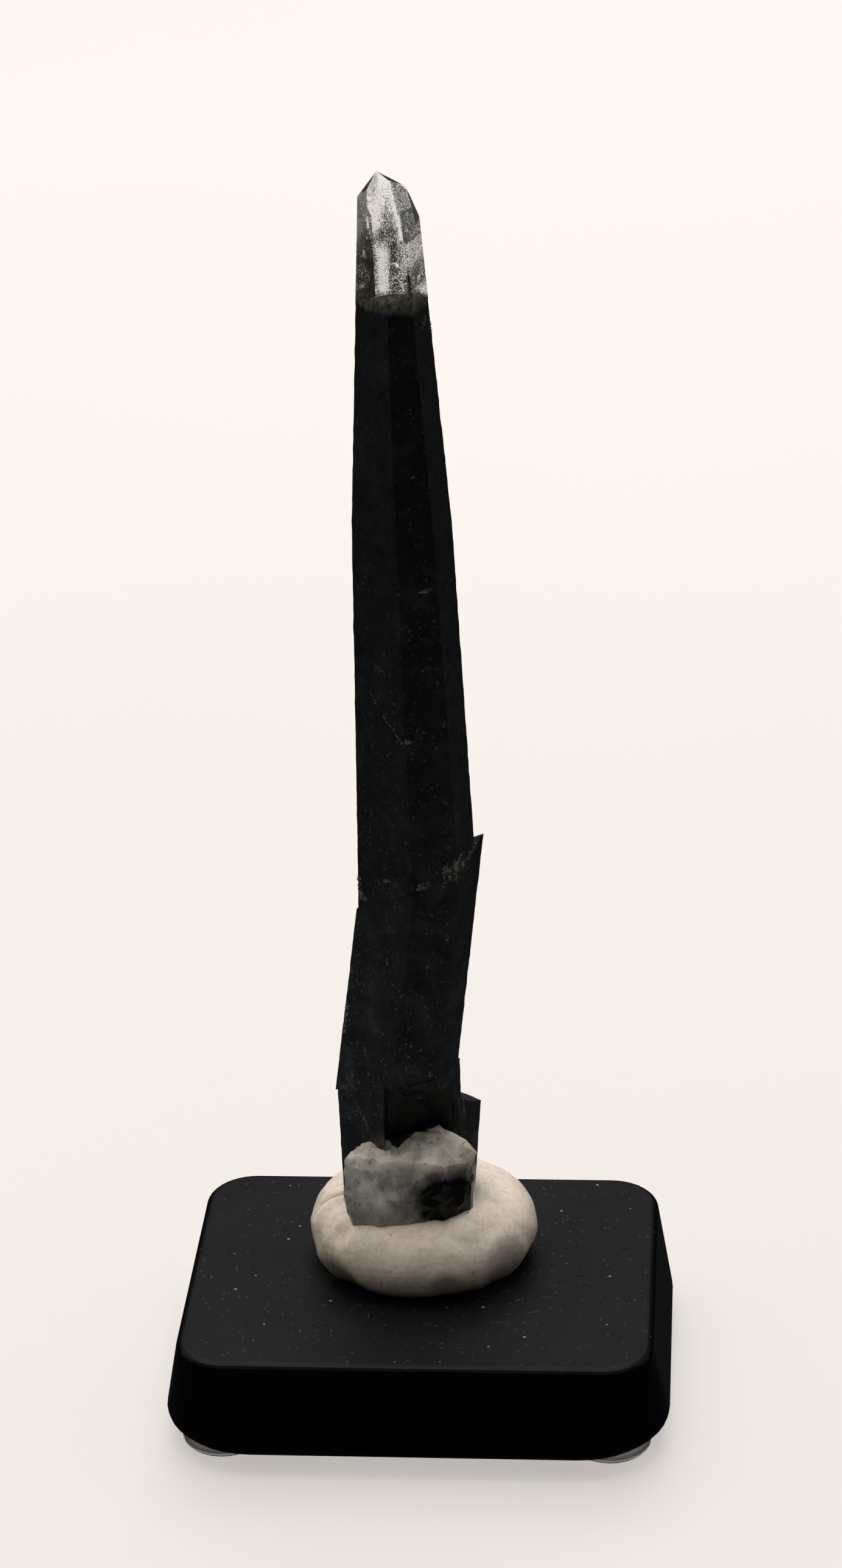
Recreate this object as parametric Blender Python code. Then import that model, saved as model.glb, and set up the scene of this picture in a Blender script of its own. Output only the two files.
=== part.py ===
"""A chlorite quartz crystal stood in a ring of mineral putty on a black display base.

Sizes are millimetres in the constants below and metres in the meshes, and heights are measured from the
base's underside. +Z is up and +X runs along the base's long side. Four clear bumper feet lift everything, and
the origin is on the table, under the middle of the base.
"""

import math
import random

import bmesh
import bpy
from mathutils import Matrix, Vector

MM = 0.001

# Display base: a flat block, a little wider at its foot than at its top
BASE_WIDTH = 48.9
BASE_DEPTH = 39.1
BASE_HEIGHT = 10.0
FOOT_CORNER = 8.7
TOP_CORNER = 4.9
BASE_FLARE = 1.45
TOP_ROUND = 0.9
FOOT_ROUND = (2.6, 1.6)
CORNER_STEPS = 10
SIDE_SHARES = (0.25, 0.5, 0.75)
ROUND_STEPS = 5

# Bumper feet: soft clear domes under the corners, flat where they touch the table
BUMPER_RADIUS = 4.0
BUMPER_HEIGHT = 1.3
BUMPER_SPOT = (18.7, 13.6)
BUMPER_STEPS = 28

# Putty: a finger-rolled sausage closed into a ring, and the pressed-down putty inside it
RING_CENTRE = (-0.2, 2.7)
RING_REACH = (7.2, 6.1)
ROLL_RADIUS = 3.9
ROLL_SINK = 0.35
PAD_TOP = 12.6
SEAM_TURN = 200.0
SEAM_DEPTH = 0.75
SEAM_WIDTH = 6.5
RING_STEPS = 72
ROLL_STEPS = 20

# Clearances between pieces that touch
FIT_GAP = 0.3
REST_GAP = 0.3

# Quartz's six prism faces meet at 120 degrees; each side is a share of the crystal's width
PRISM_TURN = 48.0
PRISM_SIDES = (0.717, 0.378, 0.485, 0.655, 0.440, 0.423)
TIP_SIDES = (0.653, 0.305, 0.789, 0.498, 0.460, 0.634)

# Each length of the crystal has an outline near its top and one near its foot: left edge, right edge, height
CRYSTAL_Y = 2.5
CRYSTAL_FOOT = 12.2
TIP_SHAFT = ((-3.31, 2.52, 117.9, TIP_SIDES), (-4.80, 4.44, 87.8, PRISM_SIDES))
UPPER_SHAFT = ((-4.80, 4.44, 87.8, PRISM_SIDES), (-5.33, 6.42, 54.0, PRISM_SIDES))
LOWER_SHAFT = ((-4.70, 6.55, 55.0, PRISM_SIDES), (-8.05, 3.62, 30.5, PRISM_SIDES))
FOOT_SHAFT = ((-8.10, 3.97, 29.5, PRISM_SIDES), (-7.76, 3.92, 13.0, PRISM_SIDES))
# Each fault: a point on the crystal's left edge, one on its right edge, and how far it rises to the front
UPPER_FAULT = ((-5.3, 2.5, 48.4), (6.6, 2.7, 56.2), 0.18)
LOWER_FAULT = ((-8.2, 2.5, 28.8), (3.8, 2.6, 32.1), 0.22)
FAULT_OVERLAP = 0.12

# The point: a broad front face and smaller ones round it, each given by a point on it, the compass turn of
# its normal from the front towards +X, and its slope from level, both in degrees
APEX = (-1.62, 3.72, 120.63)
LEFT_SHOULDER = (-3.29, 2.50, 118.65)
RIGHT_SHOULDER = (2.13, 3.80, 117.02)
FRONT_FOOT = (-0.66, -0.50, 115.13)
FRONT_TOP = (-0.53, 3.37, 119.85)
TIP_FACES = (
    (FRONT_FOOT, 14.6, 51.8),
    (RIGHT_SHOULDER, 56.1, 55.1),
    (FRONT_TOP, 79.2, 34.3),
    (RIGHT_SHOULDER, 134.6, 73.8),
    (APEX, 191.25, 84.0),
    (APEX, 205.5, 86.0),
    (LEFT_SHOULDER, 254.6, 57.0),
    (LEFT_SHOULDER, 306.4, 43.8),
    (LEFT_SHOULDER, 326.5, 57.9),
)

# Small crystal grown on the right of the foot, broken off square
SIDE_CRYSTAL_Y = 4.6
SIDE_CRYSTAL = ((0.60, 5.78, 26.4, PRISM_SIDES), (0.20, 4.75, 13.0, PRISM_SIDES))
SIDE_TOP = ((4.0, 5.0, 26.8), (5.8, 5.0, 26.3), 0.42)

# Broken hollow in the front of the foot: corners of the space that is missing
HOLLOW = (
    (-3.10, -6.0, 32.4), (-3.00, -2.2, 31.9), (-2.70, -0.4, 30.9), (-0.40, -6.0, 32.2),
    (0.80, -0.9, 31.8), (3.30, -6.0, 31.9), (3.40, -0.6, 31.2), (-3.15, -6.0, 24.0),
    (-2.90, -0.2, 27.5), (0.30, 0.7, 28.3), (3.35, 0.2, 27.6), (-3.20, 0.3, 24.0),
    (3.40, 0.5, 24.0), (3.40, -6.0, 24.0), (1.40, 1.1, 26.0),
)

# Pits and chips on the shafts: centre, and half sizes
PITS = (
    ((2.3, -2.35, 83.7), (1.15, 0.7, 1.25)),
    ((0.25, -3.35, 69.0), (0.75, 0.7, 1.0)),
    ((-3.9, 6.9, 66.0), (1.2, 1.0, 1.6)),
    ((1.2, 7.9, 37.0), (1.5, 1.2, 2.2)),
)
CHIPS = (
    ((4.1, -1.9, 55.5), (1.20, 0.9, 1.2)),
    ((1.5, -2.9, 53.9), (0.95, 0.8, 0.65)),
    ((0.9, 7.7, 52.2), (1.6, 0.9, 0.8)),
    ((-3.6, 5.9, 49.4), (1.3, 0.9, 0.7)),
)

# Pale quartz grown across the foot: corners of its two humps
LUMP_FOOT = 12.5
LUMP_LEFT = (
    (-7.30, -2.70, 22.0), (-6.70, -2.20, 23.5), (-5.00, -1.30, 24.5), (-3.50, -0.50, 25.1),
    (-1.90, -0.40, 24.7), (-6.95, -3.10, 21.2), (-4.90, -3.75, 23.7), (-1.60, -4.00, 23.8),
    (-7.15, -0.30, 22.0), (-5.60, 0.90, 23.6), (-6.60, -3.20, 16.0), (-5.30, -3.95, 17.0),
    (-3.30, -4.10, 17.5), (-1.40, -3.95, 17.0),
)
LUMP_RIGHT = (
    (-2.60, -0.60, 24.6), (-1.40, -0.30, 25.2), (0.45, 0.20, 25.7), (1.70, 0.20, 26.0),
    (3.10, -0.20, 25.5), (4.50, -0.80, 25.0), (5.40, -1.30, 24.0), (5.20, -2.30, 23.3),
    (4.30, -3.10, 23.4), (3.20, -3.65, 23.4), (-1.60, -4.05, 23.8), (5.00, -0.90, 21.5),
    (4.50, -2.20, 19.5), (3.00, -3.45, 18.5), (-1.20, -4.00, 17.2), (2.20, 1.20, 25.0),
)
LUMP_BASE_SHARE = 0.86
SEAT_ALLOWANCE = 1.25

# Colours as linear red, green and blue, with roughness
FINISHES = {
    "base": ((0.012, 0.012, 0.014), 0.55),
    "putty": ((0.62, 0.56, 0.48), 0.85),
    "crystal": ((0.022, 0.026, 0.022), 0.30),
    "bumper": ((0.60, 0.60, 0.58), 0.20),
}


def clear_scene():
    """Removes what a new file holds."""
    for thing in list(bpy.data.objects):
        bpy.data.objects.remove(thing)


def finish_material(name):
    """A plain material of the piece's colour and roughness."""
    colour, roughness = FINISHES[name]
    material = bpy.data.materials.new(name)
    material.use_nodes = True
    shader = material.node_tree.nodes["Principled BSDF"]
    shader.inputs["Base Color"].default_value = (*colour, 1.0)
    shader.inputs["Roughness"].default_value = roughness
    return material


def new_object(name, bm, finish=None, cutter=False):
    """Writes a bmesh, made in millimetres above the base's underside, to an object in metres."""
    bmesh.ops.remove_doubles(bm, verts=bm.verts, dist=0.001)
    bmesh.ops.recalc_face_normals(bm, faces=bm.faces)
    bmesh.ops.translate(bm, vec=(0.0, 0.0, BUMPER_HEIGHT), verts=bm.verts)
    bmesh.ops.scale(bm, vec=(MM, MM, MM), verts=bm.verts)
    mesh = bpy.data.meshes.new(name)
    bm.to_mesh(mesh)
    bm.free()
    made = bpy.data.objects.new(name, mesh)
    bpy.context.scene.collection.objects.link(made)
    if finish:
        made.data.materials.append(finish_material(finish))
    if cutter:
        made.hide_render = True
        made.display_type = "WIRE"
    return made


def join_or_cut(target, tool, operation):
    """Adds an exact Boolean of the tool, which stays a hidden helper."""
    step = target.modifiers.new(tool.name, "BOOLEAN")
    step.operation = operation
    step.solver = "EXACT"
    step.object = tool


def compass(turn):
    """A level direction, turned from the front (-Y) towards +X."""
    angle = math.radians(turn)
    return Vector((math.sin(angle), -math.cos(angle), 0.0))


def cut_block(planes, size=400.0):
    """A block cut down to a crystal by planes, each a point and an outward normal."""
    bm = bmesh.new()
    bmesh.ops.create_cube(bm, size=size)
    for point, normal in planes:
        everything = bm.verts[:] + bm.edges[:] + bm.faces[:]
        cut = bmesh.ops.bisect_plane(
            bm, geom=everything, plane_co=point, plane_no=normal, clear_outer=True, dist=1e-5
        )
        rim = [edge for edge in cut["geom_cut"] if isinstance(edge, bmesh.types.BMEdge)]
        bmesh.ops.holes_fill(bm, edges=rim, sides=0)
    return bm


def prism_corners(left, right, height, sides, depth=CRYSTAL_Y):
    """The six corners of a crystal's outline at one height, from its left and right edges."""
    corner = Vector((left, depth, height))
    corners = []
    for step, side in enumerate(sides):
        corners.append(corner.copy())
        corner += side * (right - left) * compass(90.0 - PRISM_TURN + 60.0 * step)
    return corners


def prism_planes(high, low, depth=CRYSTAL_Y, grow=0.0):
    """The six side faces that run through the outlines at two heights."""
    top = prism_corners(*high, depth=depth)
    foot = prism_corners(*low, depth=depth)
    planes = []
    for here in range(6):
        after = (here + 1) % 6
        middle = (top[here] + top[after]) / 2
        normal = (foot[after] - foot[here]).cross(middle - foot[here]).normalized()
        planes.append((foot[here] + normal * grow, normal))
    return planes


def fault_plane(fault, facing, shift=0.0):
    """A break across the crystal, as its upper (1) or lower (-1) part ends there."""
    left, right, rise = fault
    left, right = Vector(left), Vector(right)
    normal = (right - left).cross(Vector((0.0, 1.0, -rise))).normalized() * facing
    return left + normal * shift, normal


def level_plane(height, facing):
    """A level cut that faces up (1) or down (-1)."""
    return Vector((0.0, 0.0, height)), Vector((0.0, 0.0, facing))


def tip_planes():
    """The faces of the crystal's point."""
    planes = []
    for point, turn, slope in TIP_FACES:
        angle = math.radians(slope)
        normal = compass(turn) * math.sin(angle) + Vector((0.0, 0.0, math.cos(angle)))
        planes.append((Vector(point), normal))
    return planes


def stone(centre, reach, seed, detail=1, roughness=0.18):
    """A rough, faceted lump, for chips, pits and the broken hollow."""
    dice = random.Random(seed)
    bm = bmesh.new()
    bmesh.ops.create_icosphere(bm, subdivisions=detail, radius=1.0)
    for vert in bm.verts:
        vert.co *= 1.0 + dice.uniform(-roughness, roughness)
    bmesh.ops.scale(bm, vec=reach, verts=bm.verts)
    bmesh.ops.rotate(bm, matrix=Matrix.Rotation(dice.uniform(-0.4, 0.4), 3, "Y"), verts=bm.verts)
    bmesh.ops.translate(bm, vec=centre, verts=bm.verts)
    return bm


def upper_shaft():
    """The long tapering length with the point on top."""
    planes = prism_planes(*TIP_SHAFT) + prism_planes(*UPPER_SHAFT) + tip_planes()
    return cut_block(planes + [fault_plane(UPPER_FAULT, -1)])


def lower_shaft():
    """The length below the upper fault, which leans the other way."""
    faults = [fault_plane(UPPER_FAULT, 1, FAULT_OVERLAP), fault_plane(LOWER_FAULT, -1, FAULT_OVERLAP)]
    return cut_block(prism_planes(*LOWER_SHAFT) + faults)


def foot_shaft(grow=0.0):
    """The broken root that stands in the putty."""
    ends = [fault_plane(LOWER_FAULT, 1, FAULT_OVERLAP), level_plane(CRYSTAL_FOOT - grow, -1)]
    return cut_block(prism_planes(*FOOT_SHAFT, grow=grow) + ends)


def side_crystal(grow=0.0):
    """The small crystal beside the foot."""
    ends = [fault_plane(SIDE_TOP, 1), level_plane(CRYSTAL_FOOT - grow, -1)]
    return cut_block(prism_planes(*SIDE_CRYSTAL, SIDE_CRYSTAL_Y, grow) + ends)


def lump_corners(corners):
    """A hump's corners, and their print at its foot, shrunk towards its middle."""
    tops = [Vector(corner) for corner in corners]
    middle = sum(tops, Vector()) / len(tops)
    prints = [middle.lerp(top, LUMP_BASE_SHARE) for top in tops]
    return tops + [Vector((spot.x, spot.y, LUMP_FOOT)) for spot in prints]


def hull(points):
    """The tight skin round a set of points."""
    bm = bmesh.new()
    for point in points:
        bm.verts.new(point)
    bmesh.ops.convex_hull(bm, input=bm.verts)
    inner = [vert for vert in bm.verts if not vert.link_faces]
    bmesh.ops.delete(bm, geom=inner, context="VERTS")
    return bm


def lump_seat():
    """The lump's two humps in one skin, grown by the clearance on every side."""
    bm = hull(lump_corners(LUMP_LEFT) + lump_corners(LUMP_RIGHT))
    reach = [max(vert.co[axis] for vert in bm.verts) for axis in range(3)]
    start = [min(vert.co[axis] for vert in bm.verts) for axis in range(3)]
    heart = Vector([(low + high) / 2 for low, high in zip(start, reach)])
    growth = [1 + 2 * FIT_GAP * SEAT_ALLOWANCE / (high - low) for low, high in zip(start, reach)]
    bmesh.ops.scale(bm, vec=growth, space=Matrix.Translation(-heart), verts=bm.verts)
    return bm


def roll_shape(turn, around):
    """How far the putty roll stands from its centre line, as a share of its radius."""
    seam = (turn - SEAM_TURN + 14.0 * math.sin(around)) / SEAM_WIDTH
    groove = SEAM_DEPTH / ROLL_RADIUS * math.exp(-seam * seam)
    waves = 0.030 * math.sin(math.radians(3 * turn + 40)) + 0.022 * math.sin(math.radians(5 * turn) + 2 * around)
    thick = 0.035 * math.cos(math.radians(turn - 330))
    return 1.0 + waves + thick - groove


def putty_shape():
    """The ring and its pad: the roll's bent section repeated round an oval, closed above and below."""
    bm = bmesh.new()
    axis_height = BASE_HEIGHT + ROLL_RADIUS - ROLL_SINK
    floor = BASE_HEIGHT + REST_GAP
    inner = math.pi + math.asin((axis_height - PAD_TOP) / ROLL_RADIUS)
    outer = -math.asin((axis_height - floor) / ROLL_RADIUS)
    loops = []
    for step in range(ROLL_STEPS + 1):
        around = inner + (outer - inner) * step / ROLL_STEPS
        verts = []
        for spoke in range(RING_STEPS):
            turn = 360.0 * spoke / RING_STEPS
            size = ROLL_RADIUS * roll_shape(turn, around)
            x = RING_CENTRE[0] + (RING_REACH[0] + size * math.cos(around)) * math.cos(math.radians(turn))
            y = RING_CENTRE[1] + (RING_REACH[1] + size * math.cos(around)) * math.sin(math.radians(turn))
            height = max(axis_height + size * math.sin(around), floor)
            if step == 0:
                height = PAD_TOP
            elif step == ROLL_STEPS:
                height = floor
            verts.append(bm.verts.new((x, y, height)))
        loops.append([bm.edges.new((verts[k - 1], verts[k])) for k in range(RING_STEPS)])
    for inside, outside in zip(loops, loops[1:]):
        bmesh.ops.bridge_loops(bm, edges=inside + outside)
    bmesh.ops.holes_fill(bm, edges=loops[0] + loops[-1], sides=0)
    return bm


def base_outline(inset, radius):
    """The base's plan, a rectangle with round corners, drawn inside its full size by the inset."""
    reach_x = BASE_WIDTH / 2 - inset - radius
    reach_y = BASE_DEPTH / 2 - inset - radius
    points = []
    for corner, (side_x, side_y) in enumerate(((1, 1), (-1, 1), (-1, -1), (1, -1))):
        for step in range(CORNER_STEPS + 1):
            angle = math.pi / 2 * (corner + step / CORNER_STEPS)
            x = side_x * reach_x + radius * math.cos(angle)
            y = side_y * reach_y + radius * math.sin(angle)
            points.append((x, y))
    return points


def base_profile():
    """Insets, heights and corner radii up the side: a wide round foot, a leaning side and a tight round rim."""
    profile = []
    for step in range(ROUND_STEPS + 1):
        angle = math.pi / 2 * step / ROUND_STEPS
        inset = FOOT_ROUND[0] * (1 - math.sin(angle))
        profile.append((inset, FOOT_ROUND[1] * (1 - math.cos(angle)), FOOT_CORNER - inset))
    for share in SIDE_SHARES:
        height = FOOT_ROUND[1] + (BASE_HEIGHT - TOP_ROUND - FOOT_ROUND[1]) * share
        profile.append((BASE_FLARE * share, height, FOOT_CORNER + (TOP_CORNER - FOOT_CORNER) * share))
    for step in range(ROUND_STEPS + 1):
        angle = math.pi / 2 * step / ROUND_STEPS
        inset = TOP_ROUND * (1 - math.cos(angle))
        profile.append((BASE_FLARE + inset, BASE_HEIGHT - TOP_ROUND * (1 - math.sin(angle)), TOP_CORNER - inset))
    return profile


def make_base():
    """The block: one outline for each step of its profile, joined up and closed."""
    bm = bmesh.new()
    loops = []
    for inset, height, radius in base_profile():
        verts = [bm.verts.new((x, y, height)) for x, y in base_outline(inset, radius)]
        loops.append([bm.edges.new((verts[k - 1], verts[k])) for k in range(len(verts))])
    for below, above in zip(loops, loops[1:]):
        bmesh.ops.bridge_loops(bm, edges=below + above)
    bmesh.ops.holes_fill(bm, edges=loops[0] + loops[-1], sides=0)
    base = new_object("display_base", bm, "base")
    shade_round(base)
    return base


def make_bumpers():
    """Four soft feet: a disc with a domed rim, upside down under each corner."""
    rim = ((1.0, 0.0), (0.985, 0.25), (0.93, 0.5), (0.84, 0.75), (0.72, 0.92), (0.60, 1.0))
    for name, side_x, side_y in (
        ("bumper_front_left", -1, -1), ("bumper_front_right", 1, -1),
        ("bumper_back_left", -1, 1), ("bumper_back_right", 1, 1),
    ):
        bm = bmesh.new()
        loops = []
        for share, drop in rim:
            height = -REST_GAP - drop * (BUMPER_HEIGHT - REST_GAP)
            ring = bmesh.ops.create_circle(bm, segments=BUMPER_STEPS, radius=BUMPER_RADIUS * share)
            spot = (side_x * BUMPER_SPOT[0], side_y * BUMPER_SPOT[1], height)
            bmesh.ops.translate(bm, vec=spot, verts=ring["verts"])
            loops.append([edge for edge in bm.edges if all(v in ring["verts"] for v in edge.verts)])
        for above, below in zip(loops, loops[1:]):
            bmesh.ops.bridge_loops(bm, edges=above + below)
        bmesh.ops.holes_fill(bm, edges=loops[0] + loops[-1], sides=0)
        shade_round(new_object(name, bm, "bumper"))


def shade_round(piece, sharp=35.0):
    """Smooth shading that keeps real corners sharp."""
    piece.data.shade_smooth()
    piece.data.set_sharp_from_angle(angle=math.radians(sharp))


def make_crystal():
    """The whole specimen, grown as one: the main crystal, its side crystal and the pale quartz at its foot."""
    crystal = new_object("chlorite_quartz", upper_shaft(), "crystal")
    for name, shape in (
        ("lower_length", lower_shaft()),
        ("foot_length", foot_shaft()),
        ("side_length", side_crystal()),
    ):
        join_or_cut(crystal, new_object(name, shape, cutter=True), "UNION")
    for number, (centre, reach) in enumerate(CHIPS):
        chip = new_object(f"chip_{number}", stone(centre, reach, seed=20 + number), cutter=True)
        join_or_cut(crystal, chip, "UNION")
    for number, (centre, reach) in enumerate(PITS):
        pit = new_object(f"pit_{number}", stone(centre, reach, seed=60 + number), cutter=True)
        join_or_cut(crystal, pit, "DIFFERENCE")
    join_or_cut(crystal, new_object("hollow", hull(HOLLOW), cutter=True), "DIFFERENCE")
    for name, corners in (("left_hump", LUMP_LEFT), ("right_hump", LUMP_RIGHT)):
        join_or_cut(crystal, new_object(name, hull(lump_corners(corners)), cutter=True), "UNION")


def make_putty():
    """The putty ring, smooth but for its crease and pocket."""
    putty = new_object("putty_ring", putty_shape(), "putty")
    shade_round(putty, 60.0)
    return putty


def press_pocket(putty):
    """Cuts the specimen's pocket out of the putty."""
    for name, shape in (
        ("lump_room", lump_seat()),
        ("foot_room", foot_shaft(FIT_GAP)),
        ("side_room", side_crystal(FIT_GAP)),
    ):
        join_or_cut(putty, new_object(name, shape, cutter=True), "DIFFERENCE")


def main():
    clear_scene()
    make_base()
    make_bumpers()
    make_crystal()
    press_pocket(make_putty())


main()
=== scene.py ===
# %% [markdown]
# # Chlorite quartz on its display base
#
# A slender quartz crystal, black-green with chlorite below and clear at its tip, stands in a ring of putty on a
# black base with four clear feet. It could be drawn freely, but then nothing would agree with the solids that the
# object is known by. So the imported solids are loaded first, as a fixed frame: the crystal and the putty are made
# again over them in finer meshes, and the base and its feet keep their solids and only get their finish here.
#
# Sizes are written in millimetres above the table, and turned into metres where a mesh is made.

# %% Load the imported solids
import math
import random

import bmesh
import bpy
from mathutils import Matrix, Vector, noise
from mathutils.bvhtree import BVHTree


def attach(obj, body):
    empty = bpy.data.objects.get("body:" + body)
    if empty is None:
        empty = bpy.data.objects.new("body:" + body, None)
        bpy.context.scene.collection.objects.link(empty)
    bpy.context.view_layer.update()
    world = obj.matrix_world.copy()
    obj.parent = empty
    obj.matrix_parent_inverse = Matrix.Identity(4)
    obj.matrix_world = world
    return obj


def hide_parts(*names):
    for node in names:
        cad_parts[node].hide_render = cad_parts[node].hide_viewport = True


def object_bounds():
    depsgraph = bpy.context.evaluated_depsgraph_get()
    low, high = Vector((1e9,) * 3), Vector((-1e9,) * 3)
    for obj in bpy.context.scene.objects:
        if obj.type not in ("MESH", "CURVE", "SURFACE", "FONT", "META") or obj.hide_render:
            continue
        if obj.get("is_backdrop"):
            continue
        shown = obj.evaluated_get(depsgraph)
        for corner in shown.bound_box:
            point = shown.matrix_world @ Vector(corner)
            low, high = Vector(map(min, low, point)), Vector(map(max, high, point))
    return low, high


MM = 0.001

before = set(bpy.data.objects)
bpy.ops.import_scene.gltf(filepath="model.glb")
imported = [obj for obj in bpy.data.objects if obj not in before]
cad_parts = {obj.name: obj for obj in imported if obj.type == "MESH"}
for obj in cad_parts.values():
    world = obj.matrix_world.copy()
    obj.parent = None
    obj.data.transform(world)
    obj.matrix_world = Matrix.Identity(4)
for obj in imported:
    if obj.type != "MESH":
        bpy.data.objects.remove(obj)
frame_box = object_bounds()
scene = bpy.context.scene
print("solids:", ", ".join(sorted(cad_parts)))


# %% [markdown]
# ## Camera
#
# A mineral portrait is taken with a long lens from a little above, so that the crystal's sides stay straight and
# the top of the base still shows. The camera could be pointed by a constraint, but then its slight tip to one side
# would be lost. Here its three directions are worked out from the turn, the height and the tip that the outline of
# the base gives, and written into one matrix.

# %% Camera
CAMERA_TURN = math.radians(4.57)
CAMERA_HEIGHT = math.radians(25.0)
CAMERA_ROLL = math.radians(-1.6)
AIM_SIDE = 1.11
AIM_HEIGHT = 64.0
CAMERA_DISTANCE = 382.7
LENS = 94.22
SENSOR = 36.0

toward = Vector((
    math.sin(CAMERA_TURN) * math.cos(CAMERA_HEIGHT),
    -math.cos(CAMERA_TURN) * math.cos(CAMERA_HEIGHT),
    math.sin(CAMERA_HEIGHT),
))
level = Vector((math.cos(CAMERA_TURN), math.sin(CAMERA_TURN), 0.0))
upward = toward.cross(level)
turn = Matrix((level, upward, toward)).transposed() @ Matrix.Rotation(CAMERA_ROLL, 3, "Z")
aim = Vector((AIM_SIDE * level.x, AIM_SIDE * level.y, AIM_HEIGHT))
stand = (aim + toward * CAMERA_DISTANCE) * MM

camera = bpy.data.objects.new("camera", bpy.data.cameras.new("camera"))
camera.data.lens = LENS
camera.data.sensor_width = SENSOR
camera.matrix_world = Matrix.Translation(stand) @ turn.to_4x4()
scene.collection.objects.link(camera)
scene.camera = camera
print("camera stands at", [round(value, 3) for value in stand], "metres with a lens of", LENS, "mm")


# %% [markdown]
# ## A short way to write materials
#
# Every finish below is a tree of nodes. The tree could be built by hand in the shader editor, but a script has to
# say each node and each link. These four cells make that short: the first starts a material and sets its shader, the
# second mixes values and colours, the third gives patterns that follow the object's own coordinates, and the last
# turns patterns into masks and joins them to the shader.

# %% Start a material
class MaterialStart:
    """A material whose nodes are added by name and linked by socket."""

    def __init__(self, name):
        self.data = bpy.data.materials.new(name)
        self.data.use_nodes = True
        self.tree = self.data.node_tree
        self.shader = self.tree.nodes["Principled BSDF"]
        self.out = self.tree.nodes["Material Output"]
        self.place = self.add("ShaderNodeTexCoord").outputs["Object"]

    def add(self, kind, **settings):
        node = self.tree.nodes.new(kind)
        for key, value in settings.items():
            setattr(node, key, value)
        return node

    def link(self, source, target):
        self.tree.links.new(source, target)

    def set(self, **values):
        for key, value in values.items():
            self.shader.inputs[key.replace("_", " ")].default_value = value

    def done(self):
        """Says how large the tree has grown and gives the material back."""
        print(f"{self.data.name}: {len(self.tree.nodes)} nodes, {len(self.tree.links)} links")
        return self.data


def list_steps(kind):
    print(kind.__name__, "adds", ", ".join(name for name in vars(kind) if not name.startswith("_")))


list_steps(MaterialStart)


# %% Mixing
class MaterialMixing(MaterialStart):
    """Sums, ramps and mixes of values and colours."""

    def ramp(self, factor, *stops):
        node = self.add("ShaderNodeValToRGB")
        while len(node.color_ramp.elements) < len(stops):
            node.color_ramp.elements.new(0.5)
        for element, (position, colour) in zip(node.color_ramp.elements, stops):
            element.position = position
            element.color = (*colour, 1.0) if isinstance(colour, tuple) else (colour, colour, colour, 1.0)
        self.link(factor, node.inputs["Fac"])
        return node.outputs["Color"]

    def mix(self, factor, first, second, blend="MIX"):
        node = self.add("ShaderNodeMix", data_type="RGBA", blend_type=blend)
        for socket, value in (("Factor", factor), ("A", first), ("B", second)):
            target = [s for s in node.inputs if s.name == socket and s.enabled][0]
            if isinstance(value, bpy.types.NodeSocket):
                self.link(value, target)
            elif isinstance(value, tuple):
                target.default_value = (*value, 1.0)
            elif target.type == "RGBA":
                target.default_value = (value, value, value, 1.0)
            else:
                target.default_value = value
        return [s for s in node.outputs if s.enabled][0]

    def sum(self, first, second, operation="ADD", clamp=False):
        node = self.add("ShaderNodeMath", operation=operation, use_clamp=clamp)
        for socket, value in ((node.inputs[0], first), (node.inputs[1], second)):
            if isinstance(value, bpy.types.NodeSocket):
                self.link(value, socket)
            else:
                socket.default_value = value
        return node.outputs[0]

    def times(self, first, second, clamp=False):
        return self.sum(first, second, "MULTIPLY", clamp)

    def less(self, first, second):
        return self.sum(first, second, "SUBTRACT")


list_steps(MaterialMixing)


# %% Patterns
class MaterialPatterns(MaterialMixing):
    """Patterns that lie still on the object."""

    def noise(self, scale, detail=3.0, roughness=0.55, stretch=(1, 1, 1), distortion=0.0):
        mapping = self.add("ShaderNodeMapping")
        mapping.inputs["Scale"].default_value = stretch
        self.link(self.place, mapping.inputs["Vector"])
        texture = self.add("ShaderNodeTexNoise")
        texture.inputs["Scale"].default_value = scale
        texture.inputs["Detail"].default_value = detail
        texture.inputs["Roughness"].default_value = roughness
        texture.inputs["Distortion"].default_value = distortion
        self.link(mapping.outputs["Vector"], texture.inputs["Vector"])
        return texture.outputs["Fac"]

    def zone(self, centre, reach):
        """1 at a centre in millimetres, falling to 0 at its reach along each axis."""
        away = self.add("ShaderNodeVectorMath", operation="SUBTRACT")
        self.link(self.place, away.inputs[0])
        away.inputs[1].default_value = [value * MM for value in centre]
        share = self.add("ShaderNodeVectorMath", operation="DIVIDE")
        self.link(away.outputs["Vector"], share.inputs[0])
        share.inputs[1].default_value = [value * MM for value in reach]
        size = self.add("ShaderNodeVectorMath", operation="LENGTH")
        self.link(share.outputs["Vector"], size.inputs[0])
        return self.sum(1.0, size.outputs["Value"], "SUBTRACT", clamp=True)

    def climb(self, low, high, wobble=None):
        """0 below one height in metres and 1 above another; a wobble makes the limit uneven."""
        spot = self.add("ShaderNodeSeparateXYZ")
        self.link(self.place, spot.inputs[0])
        height = spot.outputs["Z"] if wobble is None else self.sum(spot.outputs["Z"], wobble)
        limits = self.add("ShaderNodeMapRange")
        limits.inputs["From Min"].default_value = low
        limits.inputs["From Max"].default_value = high
        self.link(height, limits.inputs["Value"])
        return limits.outputs["Result"]

    def group(self, tree, **values):
        node = self.add("ShaderNodeGroup")
        node.node_tree = tree
        self.link(self.place, node.inputs["Vector"])
        for key, value in values.items():
            node.inputs[key.replace("_", " ")].default_value = value
        return node


list_steps(MaterialPatterns)


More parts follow.
